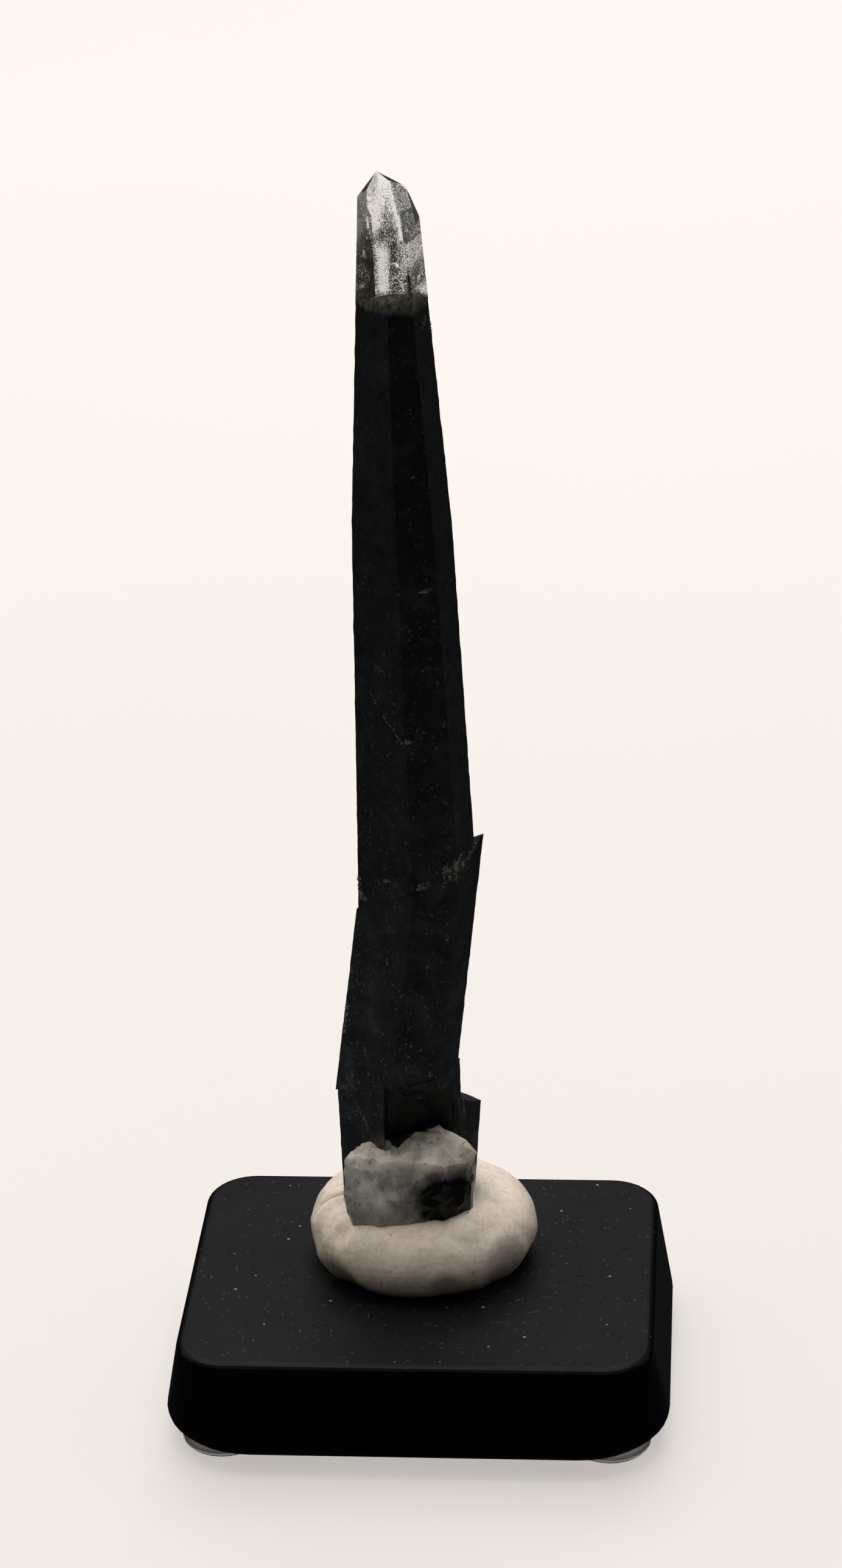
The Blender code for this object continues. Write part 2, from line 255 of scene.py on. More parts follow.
# %% Masks and the way to the shader
class Material(MaterialPatterns):
    """Masks made of patterns, and the last links of a finish."""

    def frayed(self, mask, texture, amount=1.0):
        """A mask made uneven by a noise around its middle."""
        return self.sum(mask, self.times(self.less(texture, 0.5), amount))

    def cut(self, mask, level, sharpness):
        """0 below a level of a mask, rising to 1 the faster the sharper it is."""
        return self.times(self.less(mask, level), sharpness, clamp=True)

    def colour(self, source):
        self.link(source, self.shader.inputs["Base Color"])

    def bump(self, height, strength, distance):
        node = self.add("ShaderNodeBump")
        node.inputs["Strength"].default_value = strength
        node.inputs["Distance"].default_value = distance
        self.link(height, node.inputs["Height"])
        self.link(node.outputs["Normal"], self.shader.inputs["Normal"])


list_steps(Material)


# %% [markdown]
# ## Shared effect: specks
#
# Dust on the base, chlorite grains in the crystal and dark flecks in the putty are all the same thing to the eye:
# small separate grains, of which only some show. They could be modelled, but at a tenth of a millimetre they have
# no form left to see. A cell pattern gives each cell a random colour for free: one channel picks which cells hold a
# grain, one sets its size, and one is passed on as its tone. As a node group it is written once and used five times.

# %% Specks
def make_specks():
    tree = bpy.data.node_groups.new("specks", "ShaderNodeTree")
    tree.interface.new_socket("Vector", in_out="INPUT", socket_type="NodeSocketVector")
    for name, usual in (("Scale", 900.0), ("Share", 0.1), ("Radius", 0.35)):
        tree.interface.new_socket(name, in_out="INPUT", socket_type="NodeSocketFloat").default_value = usual
    for name in ("Mask", "Tone"):
        tree.interface.new_socket(name, in_out="OUTPUT", socket_type="NodeSocketFloat")
    nodes, link = tree.nodes, tree.links.new

    def compare(operation, first, second):
        node = nodes.new("ShaderNodeMath")
        node.operation = operation
        link(first, node.inputs[0])
        link(second, node.inputs[1])
        return node.outputs[0]

    source, sink = nodes.new("NodeGroupInput").outputs, nodes.new("NodeGroupOutput").inputs
    cells = nodes.new("ShaderNodeTexVoronoi")
    link(source["Vector"], cells.inputs["Vector"])
    link(source["Scale"], cells.inputs["Scale"])
    lots = nodes.new("ShaderNodeSeparateColor")
    link(cells.outputs["Color"], lots.inputs["Color"])
    chosen = compare("LESS_THAN", lots.outputs["Red"], source["Share"])
    size = compare("MULTIPLY", lots.outputs["Green"], source["Radius"])
    near = compare("LESS_THAN", cells.outputs["Distance"], size)
    link(compare("MULTIPLY", chosen, near), sink["Mask"])
    link(lots.outputs["Blue"], sink["Tone"])
    return tree


specks = make_specks()
print("specks takes", [item.name for item in specks.interface.items_tree if item.in_out == "INPUT"])


# %% [markdown]
# ## Chlorite-filled quartz
#
# Below its tip the crystal is nearly black: it grew while fine green chlorite settled on it, and the grains show
# through a thin clear skin. It could be made as clear quartz with a dark core, but nothing of a core can be seen, so
# the darkness is colour in the surface. Three blue-black to olive tones vary over millimetres, and specks a fraction
# of a millimetre wide lie over them.

# %% Chlorite-filled quartz: grains
GRAINS_PER_METRE = 3600.0

dark = Material("chlorite_filled_quartz")
dark.set(Roughness=0.42, IOR=1.54, Specular_IOR_Level=0.4)
dark.set(Coat_Weight=0.1, Coat_Roughness=0.18, Coat_IOR=1.54)
patches = dark.noise(300.0, 7.0, 0.72, distortion=0.3)
tone = dark.ramp(
    patches, (0.32, (0.0032, 0.0046, 0.0064)), (0.52, (0.0080, 0.0100, 0.0120)), (0.72, (0.0225, 0.0245, 0.0235)),
)
grain = dark.group(specks, Scale=GRAINS_PER_METRE, Share=0.38, Radius=0.62)
sparkle = dark.ramp(
    grain.outputs["Tone"], (0.0, (0.004, 0.005, 0.006)), (0.6, (0.020, 0.022, 0.021)), (1.0, (0.055, 0.055, 0.047)),
)
dark_colour = dark.mix(grain.outputs["Mask"], tone, sparkle)
print("grains are about", round(1 / GRAINS_PER_METRE / MM, 2), "mm apart")


# %% [markdown]
# The foot of the crystal is a little greyer than its upper part, and the hollow above the pale quartz is painted
# almost black as painted shade, for the shadow in the recess. Both are plain multipliers on the colour: one by height,
# and one by a soft zone whose edge is broken up by noise, because a clean edge would look painted.

# %% Chlorite-filled quartz: foot, and painted shade in the hollow
FOOT_HEIGHT, SHOULDER_HEIGHT = 0.030, 0.095
up_the_crystal = dark.climb(FOOT_HEIGHT, SHOULDER_HEIGHT)
by_height = dark.ramp(up_the_crystal, (0.0, 1.5), (0.35, 0.80), (1.0, 0.36))
dark_colour = dark.mix(1.0, dark_colour, by_height, "MULTIPLY")
# Painted shade: the hollow above the pale quartz is mixed to almost black, for the shadow in the recess.
hollow = dark.frayed(dark.zone((0.9, -0.6, 28.9), (4.9, 4.5, 5.2)), dark.noise(450.0, 5.0, 0.7))
painted_hollow_shade = dark.cut(hollow, level=0.22, sharpness=4.0)
dark_colour = dark.mix(painted_hollow_shade, dark_colour, (0.0022, 0.0024, 0.0024))
print("the colour changes between", FOOT_HEIGHT / MM, "and", SHOULDER_HEIGHT / MM, "mm above the table")


# %% [markdown]
# Towards the clear tip the chlorite gets sparse, and single olive grains stand out against the light behind them.
# That zone is only two millimetres high. It is a fade by height with a strong wobble, from the dark colour to a
# coarser, lighter mottle.

# %% Chlorite-filled quartz: crowded grains under the tip
FADE_START, FADE_END, FADE_WOBBLE = 0.1113, 0.1136, 0.0030
wobble = dark.times(dark.noise(900.0, 5.0, 0.7), FADE_WOBBLE)
fade = dark.climb(FADE_START, FADE_END, wobble)
crowded = dark.ramp(
    dark.noise(1900.0, 4.0, 0.7),
    (0.38, (0.045, 0.048, 0.033)), (0.52, (0.110, 0.114, 0.080)), (0.68, (0.22, 0.22, 0.16)),
)
dark_colour = dark.mix(fade, dark_colour, crowded)
print("the chlorite thins out over", round((FADE_END - FADE_START) / MM, 1), "mm")


# %% [markdown]
# Where the crystal was knocked its skin is crushed: chalky, pale and rough. A painted mask would need a picture, so
# the mesh itself carries a number at each point, called broken, and the material reads it. Noise added to that
# number frays its edge. Faint growth lines run across the faces, and they and fine pits are raised as bump only.

# %% Chlorite-filled quartz: breaks and surface
worn = dark.add("ShaderNodeAttribute", attribute_name="broken").outputs["Fac"]
chalk = dark.ramp(
    dark.noise(900.0, 4.0, 0.65),
    (0.35, (0.030, 0.031, 0.027)), (0.50, (0.10, 0.10, 0.09)), (0.68, (0.30, 0.29, 0.26)),
)
crushed = dark.cut(dark.frayed(worn, dark.noise(520.0, 4.0, 0.7)), level=0.5, sharpness=3.0)
dark.colour(dark.mix(crushed, dark_colour, chalk))
dark.link(dark.mix(crushed, 0.42, 0.65), dark.shader.inputs["Roughness"])
growth_lines = dark.noise(240.0, 2.0, 0.5, stretch=(0.12, 0.12, 6.0))
pits = dark.noise(2400.0, 3.0, 0.6)
dark.bump(dark.sum(dark.times(growth_lines, 0.6), dark.times(pits, 0.5)), 0.35, 0.00006)
chlorite_quartz = dark.done()


# %% [markdown]
# ## Clear quartz
#
# The tip is clean quartz, so it is plain see-through: full transmission with the refractive index of quartz. A
# tinted surface would colour it by its faces, while the real tint comes with depth, so an absorbing volume does it.

# %% Clear quartz
TINT = (0.80, 0.80, 0.76, 1.0)
TINT_DENSITY = 220.0

clear = Material("clear_quartz")
clear.set(Base_Color=(1.0, 1.0, 1.0, 1.0), Roughness=0.06, IOR=1.544, Transmission_Weight=1.0)
clear.bump(clear.noise(500.0, 2.0, 0.5), 0.04, 0.00002)
absorb = clear.add("ShaderNodeVolumeAbsorption")
absorb.inputs["Color"].default_value = TINT
absorb.inputs["Density"].default_value = TINT_DENSITY
clear.link(absorb.outputs["Volume"], clear.out.inputs["Volume"])
clear_quartz = clear.done()


# %% [markdown]
# ## Grains in the tip, and fibres
#
# Chlorite plates, grey frost and a pale veil hang in the clear tip. A cloudy volume would be slow to render and is
# lost when the model is saved for other programs. Small meshes with a dull surface look the same at this size. They
# share one finish in several tones, and the dust fibres on the base use it too.

# %% Grains and fibres
def flake_material(name, low, middle, high):
    flake = Material(name)
    flake.set(Roughness=0.6, IOR=1.5)
    flake.colour(flake.ramp(flake.noise(1200.0, 3.0, 0.6), (0.35, low), (0.55, middle), (0.75, high)))
    return flake.done()


chlorite_grains = flake_material("chlorite_grains", (0.075, 0.078, 0.038), (0.155, 0.155, 0.080), (0.31, 0.305, 0.18))
frost_grains = flake_material("frost_grains", (0.040, 0.044, 0.047), (0.068, 0.074, 0.078), (0.115, 0.122, 0.127))
veil_grains = flake_material("veil_grains", (0.74, 0.71, 0.70), (0.78, 0.75, 0.74), (0.84, 0.82, 0.81))
fibre = flake_material("fibre", (0.035, 0.035, 0.035), (0.07, 0.07, 0.068), (0.13, 0.128, 0.125))


# %% [markdown]
# ## Pale quartz
#
# The lump at the foot is broken milky quartz. Light enters it a little way, so it gets a short subsurface scatter in
# place of transmission, which would show the dark crystal behind it too plainly. Its front is veined grey and its
# upper edges are cream, and the line between them follows its height with some wobble. The cream is partly the
# stone's own tint and partly painted light on the lit top, and the darker grey of the front is partly painted shade.

# %% Pale quartz: grey front with painted shade, cream top with painted light
TOP_START, TOP_END, TOP_WOBBLE = 0.0248, 0.0262, 0.0010

milky = Material("pale_quartz")
milky.set(Roughness=0.38, IOR=1.54, Subsurface_Weight=0.3, Subsurface_Scale=0.0012, Specular_IOR_Level=0.3)
milky.set(Subsurface_Radius=(1.0, 0.95, 0.85))
veils = milky.noise(260.0, 6.0, 0.66, stretch=(1.0, 1.0, 0.7), distortion=0.9)
# Partly painted shade: the front is given a darker grey, as the side that the light from above misses.
grey_front_painted_shade = milky.ramp(
    veils, (0.30, (0.115, 0.110, 0.096)), (0.46, (0.175, 0.168, 0.150)), (0.60, (0.27, 0.26, 0.235)),
    (0.74, (0.50, 0.485, 0.445)),
)
# Partly painted light: the top is given a lighter cream, as the side that the light from above falls on.
cream_top_painted_light = milky.ramp(veils, (0.30, (0.30, 0.270, 0.215)), (0.50, (0.52, 0.475, 0.39)), (0.70, (0.78, 0.74, 0.65)))
rise = milky.climb(TOP_START, TOP_END, milky.times(milky.noise(500.0, 3.0, 0.6), TOP_WOBBLE))
milky_colour = milky.mix(rise, grey_front_painted_shade, cream_top_painted_light)
print("grey turns to cream at", round(TOP_START / MM, 1), "to", round(TOP_END / MM, 1), "mm")


# %% [markdown]
# Four local things make the lump this one and no other: a lighter broken facet on the left, whose lighter colour
# is also painted light where the lamp light falls off, a trace of rust above it, green specks all over, and a
# near-black patch low on the right. Each is a zone or a mask over the colour so far, laid on in that order, so that
# the near-black patch covers the rest.

# %% Pale quartz: facet with painted light, rust, specks and a near-black patch
# Partly painted light: the lighter facet zone also brightens the left of the lump, where the lamp light falls off.
facet_and_painted_light = milky.times(milky.zone((-4.4, -3.8, 23.6), (3.6, 4.5, 4.2)), 2.0, clamp=True)
cloud = milky.ramp(milky.noise(600.0, 5.0, 0.7), (0.4, 0.15), (0.65, 0.9))
milky_colour = milky.mix(milky.times(facet_and_painted_light, cloud), milky_colour, (0.50, 0.49, 0.455))
rust = milky.times(milky.zone((-4.3, -3.0, 26.2), (2.2, 3.0, 0.9)), milky.noise(900.0, 4.0, 0.7))
milky_colour = milky.mix(rust, milky_colour, (0.20, 0.135, 0.085))
green_specks = milky.group(specks, Scale=2600.0, Share=0.14, Radius=0.6)
milky_colour = milky.mix(milky.times(green_specks.outputs["Mask"], 0.5), milky_colour, (0.05, 0.048, 0.038))
# A near-black patch low on the right of the lump.
low_right = milky.zone((3.0, -3.0, 20.7), (6.2, 6.0, 5.6))
low_right = milky.frayed(low_right, milky.noise(430.0, 5.0, 0.68), amount=0.7)
filled = milky.cut(low_right, level=0.12, sharpness=2.3)
milky.colour(milky.mix(filled, milky_colour, (0.0012, 0.0014, 0.0012)))
milky.bump(milky.noise(1500.0, 5.0, 0.65), 0.45, 0.00010)
milky_quartz = milky.done()


# %% [markdown]
# ## Crushed quartz
#
# Each break in the dark crystal holds grit, in grains from dark grey to off-white. One fine noise over all the
# grains tones them apart, which is far less work than a material for each.

# %% Crushed quartz
grit_finish = Material("crushed_quartz")
grit_finish.set(Roughness=0.5, IOR=1.54)
grit_finish.colour(grit_finish.ramp(
    grit_finish.noise(2600.0, 2.0, 0.5),
    (0.36, (0.020, 0.021, 0.019)), (0.52, (0.070, 0.071, 0.062)), (0.68, (0.22, 0.22, 0.195)),
))
crushed_quartz = grit_finish.done()


# %% [markdown]
# ## Putty
#
# Mineral putty is matt, warm off-white and a little waxy, with finger marks and a few dark flecks picked up from
# handling. Its waxiness is a weak subsurface scatter, redder than it is blue. Its lower side gets hardly any light
# from the black base, and soft studio light alone leaves it too bright, so shade is painted into its colour: it
# darkens towards the base.

# %% Putty: colour
FLECK_SHARE = 0.035
DARK_UP_TO, PALE_FROM = 0.0115, 0.0185

putty_finish = Material("mineral_putty")
putty_finish.set(Roughness=0.72, IOR=1.46, Subsurface_Weight=0.15, Subsurface_Scale=0.0010, Specular_IOR_Level=0.2)
putty_finish.set(Subsurface_Radius=(1.0, 0.75, 0.55))
putty_tone = putty_finish.ramp(
    putty_finish.noise(140.0, 3.0, 0.5), (0.3, (0.80, 0.69, 0.57)), (0.7, (0.90, 0.79, 0.67)),
)
# Painted shade: the colour darkens towards the base, where little light reaches the putty's lower side.
above_base = putty_finish.climb(DARK_UP_TO, PALE_FROM)
painted_low_shade = putty_finish.ramp(above_base, (0.0, 0.20), (0.30, 0.40), (0.62, 0.70), (1.0, 1.0))
putty_tone = putty_finish.mix(1.0, putty_tone, painted_low_shade, "MULTIPLY")
skin = putty_finish.ramp(putty_finish.noise(1700.0, 5.0, 0.75), (0.35, 0.80), (0.55, 1.0))
putty_tone = putty_finish.mix(1.0, putty_tone, skin, "MULTIPLY")
flecks = putty_finish.group(specks, Scale=1500.0, Share=FLECK_SHARE, Radius=0.42)
putty_finish.colour(putty_finish.mix(putty_finish.times(flecks.outputs["Mask"], 0.5), putty_tone, (0.20, 0.17, 0.14)))
print("one cell of the putty in", round(1 / FLECK_SHARE), "holds a fleck")


# %% [markdown]
# Finger prints could be drawn line by line. A ring wave that is bent by noise gives the same broken ridges, and a
# finer noise over it keeps them from looking combed.

# %% Putty: finger prints
prints = putty_finish.add("ShaderNodeTexWave", wave_type="RINGS", rings_direction="SPHERICAL")
prints.inputs["Scale"].default_value = 520.0
prints.inputs["Distortion"].default_value = 5.0
prints.inputs["Detail"].default_value = 1.0
putty_finish.link(putty_finish.place, prints.inputs["Vector"])
ridges = putty_finish.times(prints.outputs["Fac"], 0.25)
fine_grain = putty_finish.times(putty_finish.noise(2600.0, 3.0, 0.6), 0.9)
putty_finish.bump(putty_finish.sum(ridges, fine_grain), 0.55, 0.00009)
mineral_putty = putty_finish.done()


# %% [markdown]
# ## Base and feet
#
# The base is black and polished on its sides, and on its top a satin bloom and dust dull the polish; the top is also
# painted a lighter grey than the sides, as painted light from above. Its solid has the right shape, so it only needs
# this finish. The top could be picked out by its faces, but on a rounded edge that leaves a hard line. The direction
# that the surface faces gives a soft change instead. Two sizes of specks lie on the top: fine dust and a little lint.

# %% Base
acrylic = Material("black_base")
acrylic.set(IOR=1.49, Roughness=0.3, Specular_IOR_Level=0.09)
facing = acrylic.add("ShaderNodeSeparateXYZ")
acrylic.link(acrylic.add("ShaderNodeNewGeometry").outputs["Normal"], facing.inputs[0])
on_top = acrylic.ramp(facing.outputs["Z"], (0.80, 0.0), (0.98, 1.0))
# Painted light: the top is given a lighter grey than the black sides, for the light that falls on it from above; the
# noise in it is a satin bloom.
bloom_and_painted_top_light = acrylic.ramp(acrylic.noise(90.0, 4.0, 0.6), (0.3, (0.0040, 0.0040, 0.0046)), (0.7, (0.0072, 0.0072, 0.0080)))
base_tone = acrylic.mix(on_top, (0.0012, 0.0012, 0.0013), bloom_and_painted_top_light)
dust = acrylic.group(specks, Scale=2600.0, Share=0.16, Radius=0.42)
lint = acrylic.group(specks, Scale=1150.0, Share=0.26, Radius=0.19)
dusty = acrylic.times(acrylic.times(dust.outputs["Mask"], 0.5), on_top)
linty = acrylic.times(acrylic.times(lint.outputs["Mask"], lint.outputs["Tone"]), on_top)
base_tone = acrylic.mix(dusty, base_tone, (0.060, 0.060, 0.064))
acrylic.colour(acrylic.mix(linty, base_tone, (0.19, 0.187, 0.184)))
acrylic.link(acrylic.mix(on_top, 0.16, 0.50), acrylic.shader.inputs["Roughness"])
acrylic.bump(acrylic.noise(3000.0, 2.0, 0.5), 0.15, 0.00003)
black_base = acrylic.done()


# %% [markdown]
# The four feet are soft clear bumpers. Rubber is never as clean as glass, so most of the light passes and the rest
# is scattered by a pale grey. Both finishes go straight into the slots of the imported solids.

# %% Feet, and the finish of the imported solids
FEET = ("bumper_front_left", "bumper_front_right", "bumper_back_left", "bumper_back_right")

rubber = Material("clear_rubber")
rubber.set(Base_Color=(0.62, 0.62, 0.60, 1.0), Roughness=0.25, IOR=1.45, Transmission_Weight=0.85)
rubber.bump(rubber.noise(1400.0, 2.0, 0.5), 0.2, 0.00004)
clear_rubber = rubber.done()

for node, finish in [("display_base", black_base)] + [(foot, clear_rubber) for foot in FEET]:
    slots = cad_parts[node].data.materials
    slots.clear()
    slots.append(finish)
    print(node, "gets", finish.name)


# %% [markdown]
# ## Pale quartz at the foot
#
# The lump is two broken humps that meet in a dip. Broken stone could be sculpted from a ball, but its corners would
# come out round. Each hump is instead the tight skin around a few corners that were read from its outline, since
# only a convex skin gives flat faces between sharp corners.

# %% Corners of the two humps
PALE_LEFT = (
    (-7.44, -2.7, 23.8), (-7.06, -2.6, 24.9), (-6.56, -2.6, 25.6), (-5.72, -2.0, 25.7), (-4.60, -1.0, 26.2),
    (-3.74, -0.6, 26.3), (-2.86, -0.6, 26.2), (-2.14, -0.8, 25.9), (-4.66, -3.4, 25.8), (-2.62, -3.8, 25.8),
    (-2.02, -4.1, 25.5), (-7.16, -3.1, 22.3), (-7.10, -3.2, 19.8), (-6.60, -3.4, 18.9), (-6.00, -3.6, 18.4),
    (-4.89, -4.0, 18.6), (-3.68, -4.2, 18.8), (-2.77, -4.3, 19.3), (-6.0, -2.6, 16.6), (-4.7, -3.1, 16.4),
    (-2.8, -3.3, 16.6), (-6.4, 0.5, 17.0), (-2.5, 0.5, 17.0), (-7.1, -0.3, 23.4), (-5.6, 1.0, 25.0),
)
PALE_RIGHT = (
    (-2.14, -0.8, 25.9), (-0.50, -0.3, 26.5), (0.79, 0.2, 27.1), (1.62, 0.2, 27.3), (3.35, -0.3, 26.8),
    (4.26, -0.8, 26.4), (5.17, -1.3, 25.9), (5.45, -1.8, 25.4), (-2.02, -4.1, 25.5), (1.80, -4.1, 25.5),
    (3.52, -3.6, 25.2), (4.90, -2.8, 25.1), (-2.77, -4.3, 19.3), (-0.40, -4.3, 19.5), (1.06, -4.0, 19.7),
    (2.93, -3.5, 20.0), (3.95, -2.8, 20.2), (4.34, -2.2, 20.6), (4.64, -1.8, 21.7), (5.06, -1.5, 22.8),
    (-2.6, -3.3, 16.6), (0.6, -3.2, 16.6), (2.6, -2.6, 16.8), (3.6, -1.6, 17.0), (3.4, 0.5, 17.0),
    (-2.2, 0.5, 17.0), (2.2, 1.2, 26.2), (4.4, 0.4, 24.5),
)


def hull_object(name, corners):
    """An object that is the tight skin around some corners in millimetres."""
    bm = bmesh.new()
    for x, y, z in corners:
        bm.verts.new((x * MM, y * MM, z * MM))
    bmesh.ops.convex_hull(bm, input=bm.verts)
    bmesh.ops.delete(bm, geom=[v for v in bm.verts if not v.link_faces], context="VERTS")
    mesh = bpy.data.meshes.new(name)
    bm.to_mesh(mesh)
    bm.free()
    made = bpy.data.objects.new(name, mesh)
    scene.collection.objects.link(made)
    print(f"{name}: {len(corners)} corners, {len(mesh.polygons)} faces")
    return made


pale_left = hull_object("pale_left", PALE_LEFT)
pale_right = hull_object("pale_right", PALE_RIGHT)


# %% [markdown]
# Two humps that only overlap would show a seam. A Boolean joins them, and a remesh cuts the result into small even
# cells, whose points can be moved. Modifiers do both. They are applied at once, because the next step works on the
# points themselves.

# %% Join the humps
PALE_CELL = 0.22


def in_millimetres(mesh):
    """A bmesh in millimetres of a mesh in metres."""
    bm = bmesh.new()
    bm.from_mesh(mesh)
    bmesh.ops.scale(bm, vec=(1 / MM, 1 / MM, 1 / MM), verts=bm.verts)
    return bm


def shaped(made, **settings):
    """Adds one modifier to an object from its type and settings."""
    step = made.modifiers.new(settings["type"].lower(), settings.pop("type"))
    for key, value in settings.items():
        setattr(step, key, value)


def applied(made):
    """The object's mesh with its modifiers applied, as a bmesh in millimetres; the object goes."""
    graph = bpy.context.evaluated_depsgraph_get()
    bm = in_millimetres(made.evaluated_get(graph).to_mesh())
    bpy.data.objects.remove(made)
    return bm


shaped(pale_left, type="BOOLEAN", operation="UNION", object=pale_right)
shaped(pale_left, type="REMESH", mode="VOXEL", voxel_size=PALE_CELL * MM)
lump = applied(pale_left)
bpy.data.objects.remove(pale_right)
print("the joined humps have", len(lump.verts), "points about", PALE_CELL, "mm apart")


# %% [markdown]
# Quartz breaks in shallow shell-like scoops with sharp ridges between them. Noise along the direction that the
# surface faces digs both: a plain soft noise gives the scoops, and the size of a signed noise, which is folded
# where it crosses zero, gives the ridges. Every piece from here on is made from a bmesh by `finished`, which turns
# millimetres into metres, names the piece and lets it ride on the object.

# %% Dig scoops and ridges
SCOOP_SCALE, SCOOP_DEPTH = 0.45, 0.42
RIDGE_SCALE, RIDGE_DEPTH = 0.8, 0.45
RIDGE_SHIFT = Vector((3.0, 9.0, 1.0))
PALE_SWELL = 0.14


def finished(name, bm, material, smooth_angle=None):
    """Writes a bmesh in millimetres to a piece that rides on the object."""
    bmesh.ops.scale(bm, vec=(MM, MM, MM), verts=bm.verts)
    mesh = bpy.data.meshes.new(name)
    bm.to_mesh(mesh)
    bm.free()
    piece = bpy.data.objects.new(name, mesh)
    scene.collection.objects.link(piece)
    mesh.materials.append(material)
    if smooth_angle is not None:
        mesh.shade_smooth()
        mesh.set_sharp_from_angle(angle=smooth_angle)
    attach(piece, "root")
    size = [round(side / MM, 1) for side in piece.dimensions]
    print(f"{name}: {len(mesh.polygons)} faces, {size} mm")
    return piece


lump.normal_update()
for vert in lump.verts:
    scoops = noise.fractal(vert.co * SCOOP_SCALE, 1.0, 2.0, 3) * SCOOP_DEPTH
    ridges = abs(noise.noise(vert.co * RIDGE_SCALE + RIDGE_SHIFT)) * RIDGE_DEPTH
    vert.co = vert.co + vert.normal * (scoops - ridges + PALE_SWELL)
rough = finished("pale_rough", lump, milky_quartz)


# %% [markdown]
# So many even cells still look like clay. Most of the faces are thinned away again, and what is left are the
# irregular flat facets of a real break. A tiny bevel lets their edges catch the light.

# %% Thin the lump to flat facets
KEPT_SHARE = 0.035
FACET_EDGE = 0.035

shaped(rough, type="DECIMATE", ratio=KEPT_SHARE)
lump = applied(rough)
bmesh.ops.bevel(
    lump, geom=lump.edges[:], offset=FACET_EDGE, segments=1, affect="EDGES", profile=0.5, material=-1,
    clamp_overlap=True,
)
pale = finished("pale_quartz", lump, milky_quartz)
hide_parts("chlorite_quartz")


# %% [markdown]
# ## The crystal, cut at the edge of its chlorite
#
# One crystal looks like two materials, because the chlorite stopped at a growth layer near the tip. A colour ramp
# could not do it: dark quartz is opaque and clear quartz lets light through. So a copy of the crystal's solid is cut
# by the sloping layer, higher in front, into a dark body and a clear tip.

# %% Copy a solid and cut it
LAYER_POINT = Vector((-0.60, -0.70, 112.0))
LAYER_NORMAL = Vector((-0.07, 0.46, 1.0)).normalized()
MERGE_DISTANCE = 0.002
FLAT_ANGLE = math.radians(0.5)


def solid_copy(node):
    """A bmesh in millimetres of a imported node, with its loose triangles merged."""
    bm = in_millimetres(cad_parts[node].data)
    bmesh.ops.remove_doubles(bm, verts=bm.verts, dist=MERGE_DISTANCE)
    bmesh.ops.dissolve_limit(bm, angle_limit=FLAT_ANGLE, verts=bm.verts, edges=bm.edges)
    return bm


def everything(bm):
    return bm.verts[:] + bm.edges[:] + bm.faces[:]


def keep_side(bm, point, normal):
    """Cuts a bmesh, closes the cut and keeps the side that the normal points away from."""
    cut = bmesh.ops.bisect_plane(
        bm, geom=everything(bm), plane_co=point, plane_no=normal, clear_outer=True, dist=1e-5,
    )
    rim = [item for item in cut["geom_cut"] if isinstance(item, bmesh.types.BMEdge)]
    bmesh.ops.holes_fill(bm, edges=rim, sides=0)


def layer_height(x, y):
    """Height of the chlorite's upper limit."""
    slope = LAYER_NORMAL.x * (x - LAYER_POINT.x) + LAYER_NORMAL.y * (y - LAYER_POINT.y)
    return LAYER_POINT.z - slope / LAYER_NORMAL.z


print("the chlorite ends at", round(layer_height(0, -4), 1), "mm in front and", round(layer_height(0, 4), 1), "behind")


# %% [markdown]
# The faces of the solid are large and flat, and only points can be moved. Subdividing would make cells as long as
# the faces, so level lines are scored across them in all three directions, like a knife drawn across clay.

# %% Score the body
# axis, first line, limit, distance between lines
SCORES = ((2, 14.0, 111.0, 0.55), (0, -8.3, 6.9, 0.6), (1, -4.0, 8.6, 0.6))


def score(bm, axis, start, stop, step):
    """Cuts level lines into every face, so that flat faces get points to shape."""
    normal = Vector((0.0, 0.0, 0.0))
    normal[axis] = 1.0
    where = start
    while where < stop:
        bmesh.ops.bisect_plane(bm, geom=everything(bm), plane_co=normal * where, plane_no=normal, dist=1e-4)
        where += step


crystal = solid_copy("chlorite_quartz")
keep_side(crystal, LAYER_POINT, LAYER_NORMAL)
print("before scoring:", len(crystal.verts), "points")
for axis, start, stop, step in SCORES:
    score(crystal, axis, start, stop, step)
crystal.normal_update()
print("after scoring:", len(crystal.verts), "points")


# %% [markdown]
# The material of the body asks each point whether it is broken. Painting that by hand could not be repeated, so the
# breaks are a short list of places, and each point takes the strongest of them that it lies in.

# %% Mark the breaks
# Pale broken patches: centre, reach, and how strongly they show
BREAKS = (
    ((4.4, -2.5, 56.8), 0.85, 1.0), ((1.5, -3.3, 55.2), 0.60, 0.9), ((-2.2, -2.0, 54.2), 0.7, 0.35),
    ((-4.9, 0.6, 51.9), 0.75, 0.8), ((6.3, 1.0, 57.0), 0.6, 0.7), ((3.1, -0.7, 108.0), 0.45, 0.8),
    ((2.7, -1.2, 109.4), 0.4, 0.5), ((3.9, 2.6, 33.2), 0.8, 0.9), ((3.7, -0.8, 31.5), 0.7, 0.8),
)
BREAK_SPREAD = 1.5

broken = crystal.verts.layers.float.new("broken")
for vert in crystal.verts:
    amount = 0.0
    for centre, reach, strength in BREAKS:
        gap = (vert.co - Vector(centre)).length / (reach * BREAK_SPREAD)
        amount = max(amount, strength * (1.0 - gap))
    vert[broken] = max(0.0, amount)
print("points near a break:", sum(vert[broken] > 0 for vert in crystal.verts))


# %% [markdown]
# Crystal faces are never quite flat, so each point moves by a few hundredths of a millimetre, and up to a quarter
# of a millimetre in a break. The points at the cut stay, so that body and tip keep meeting.

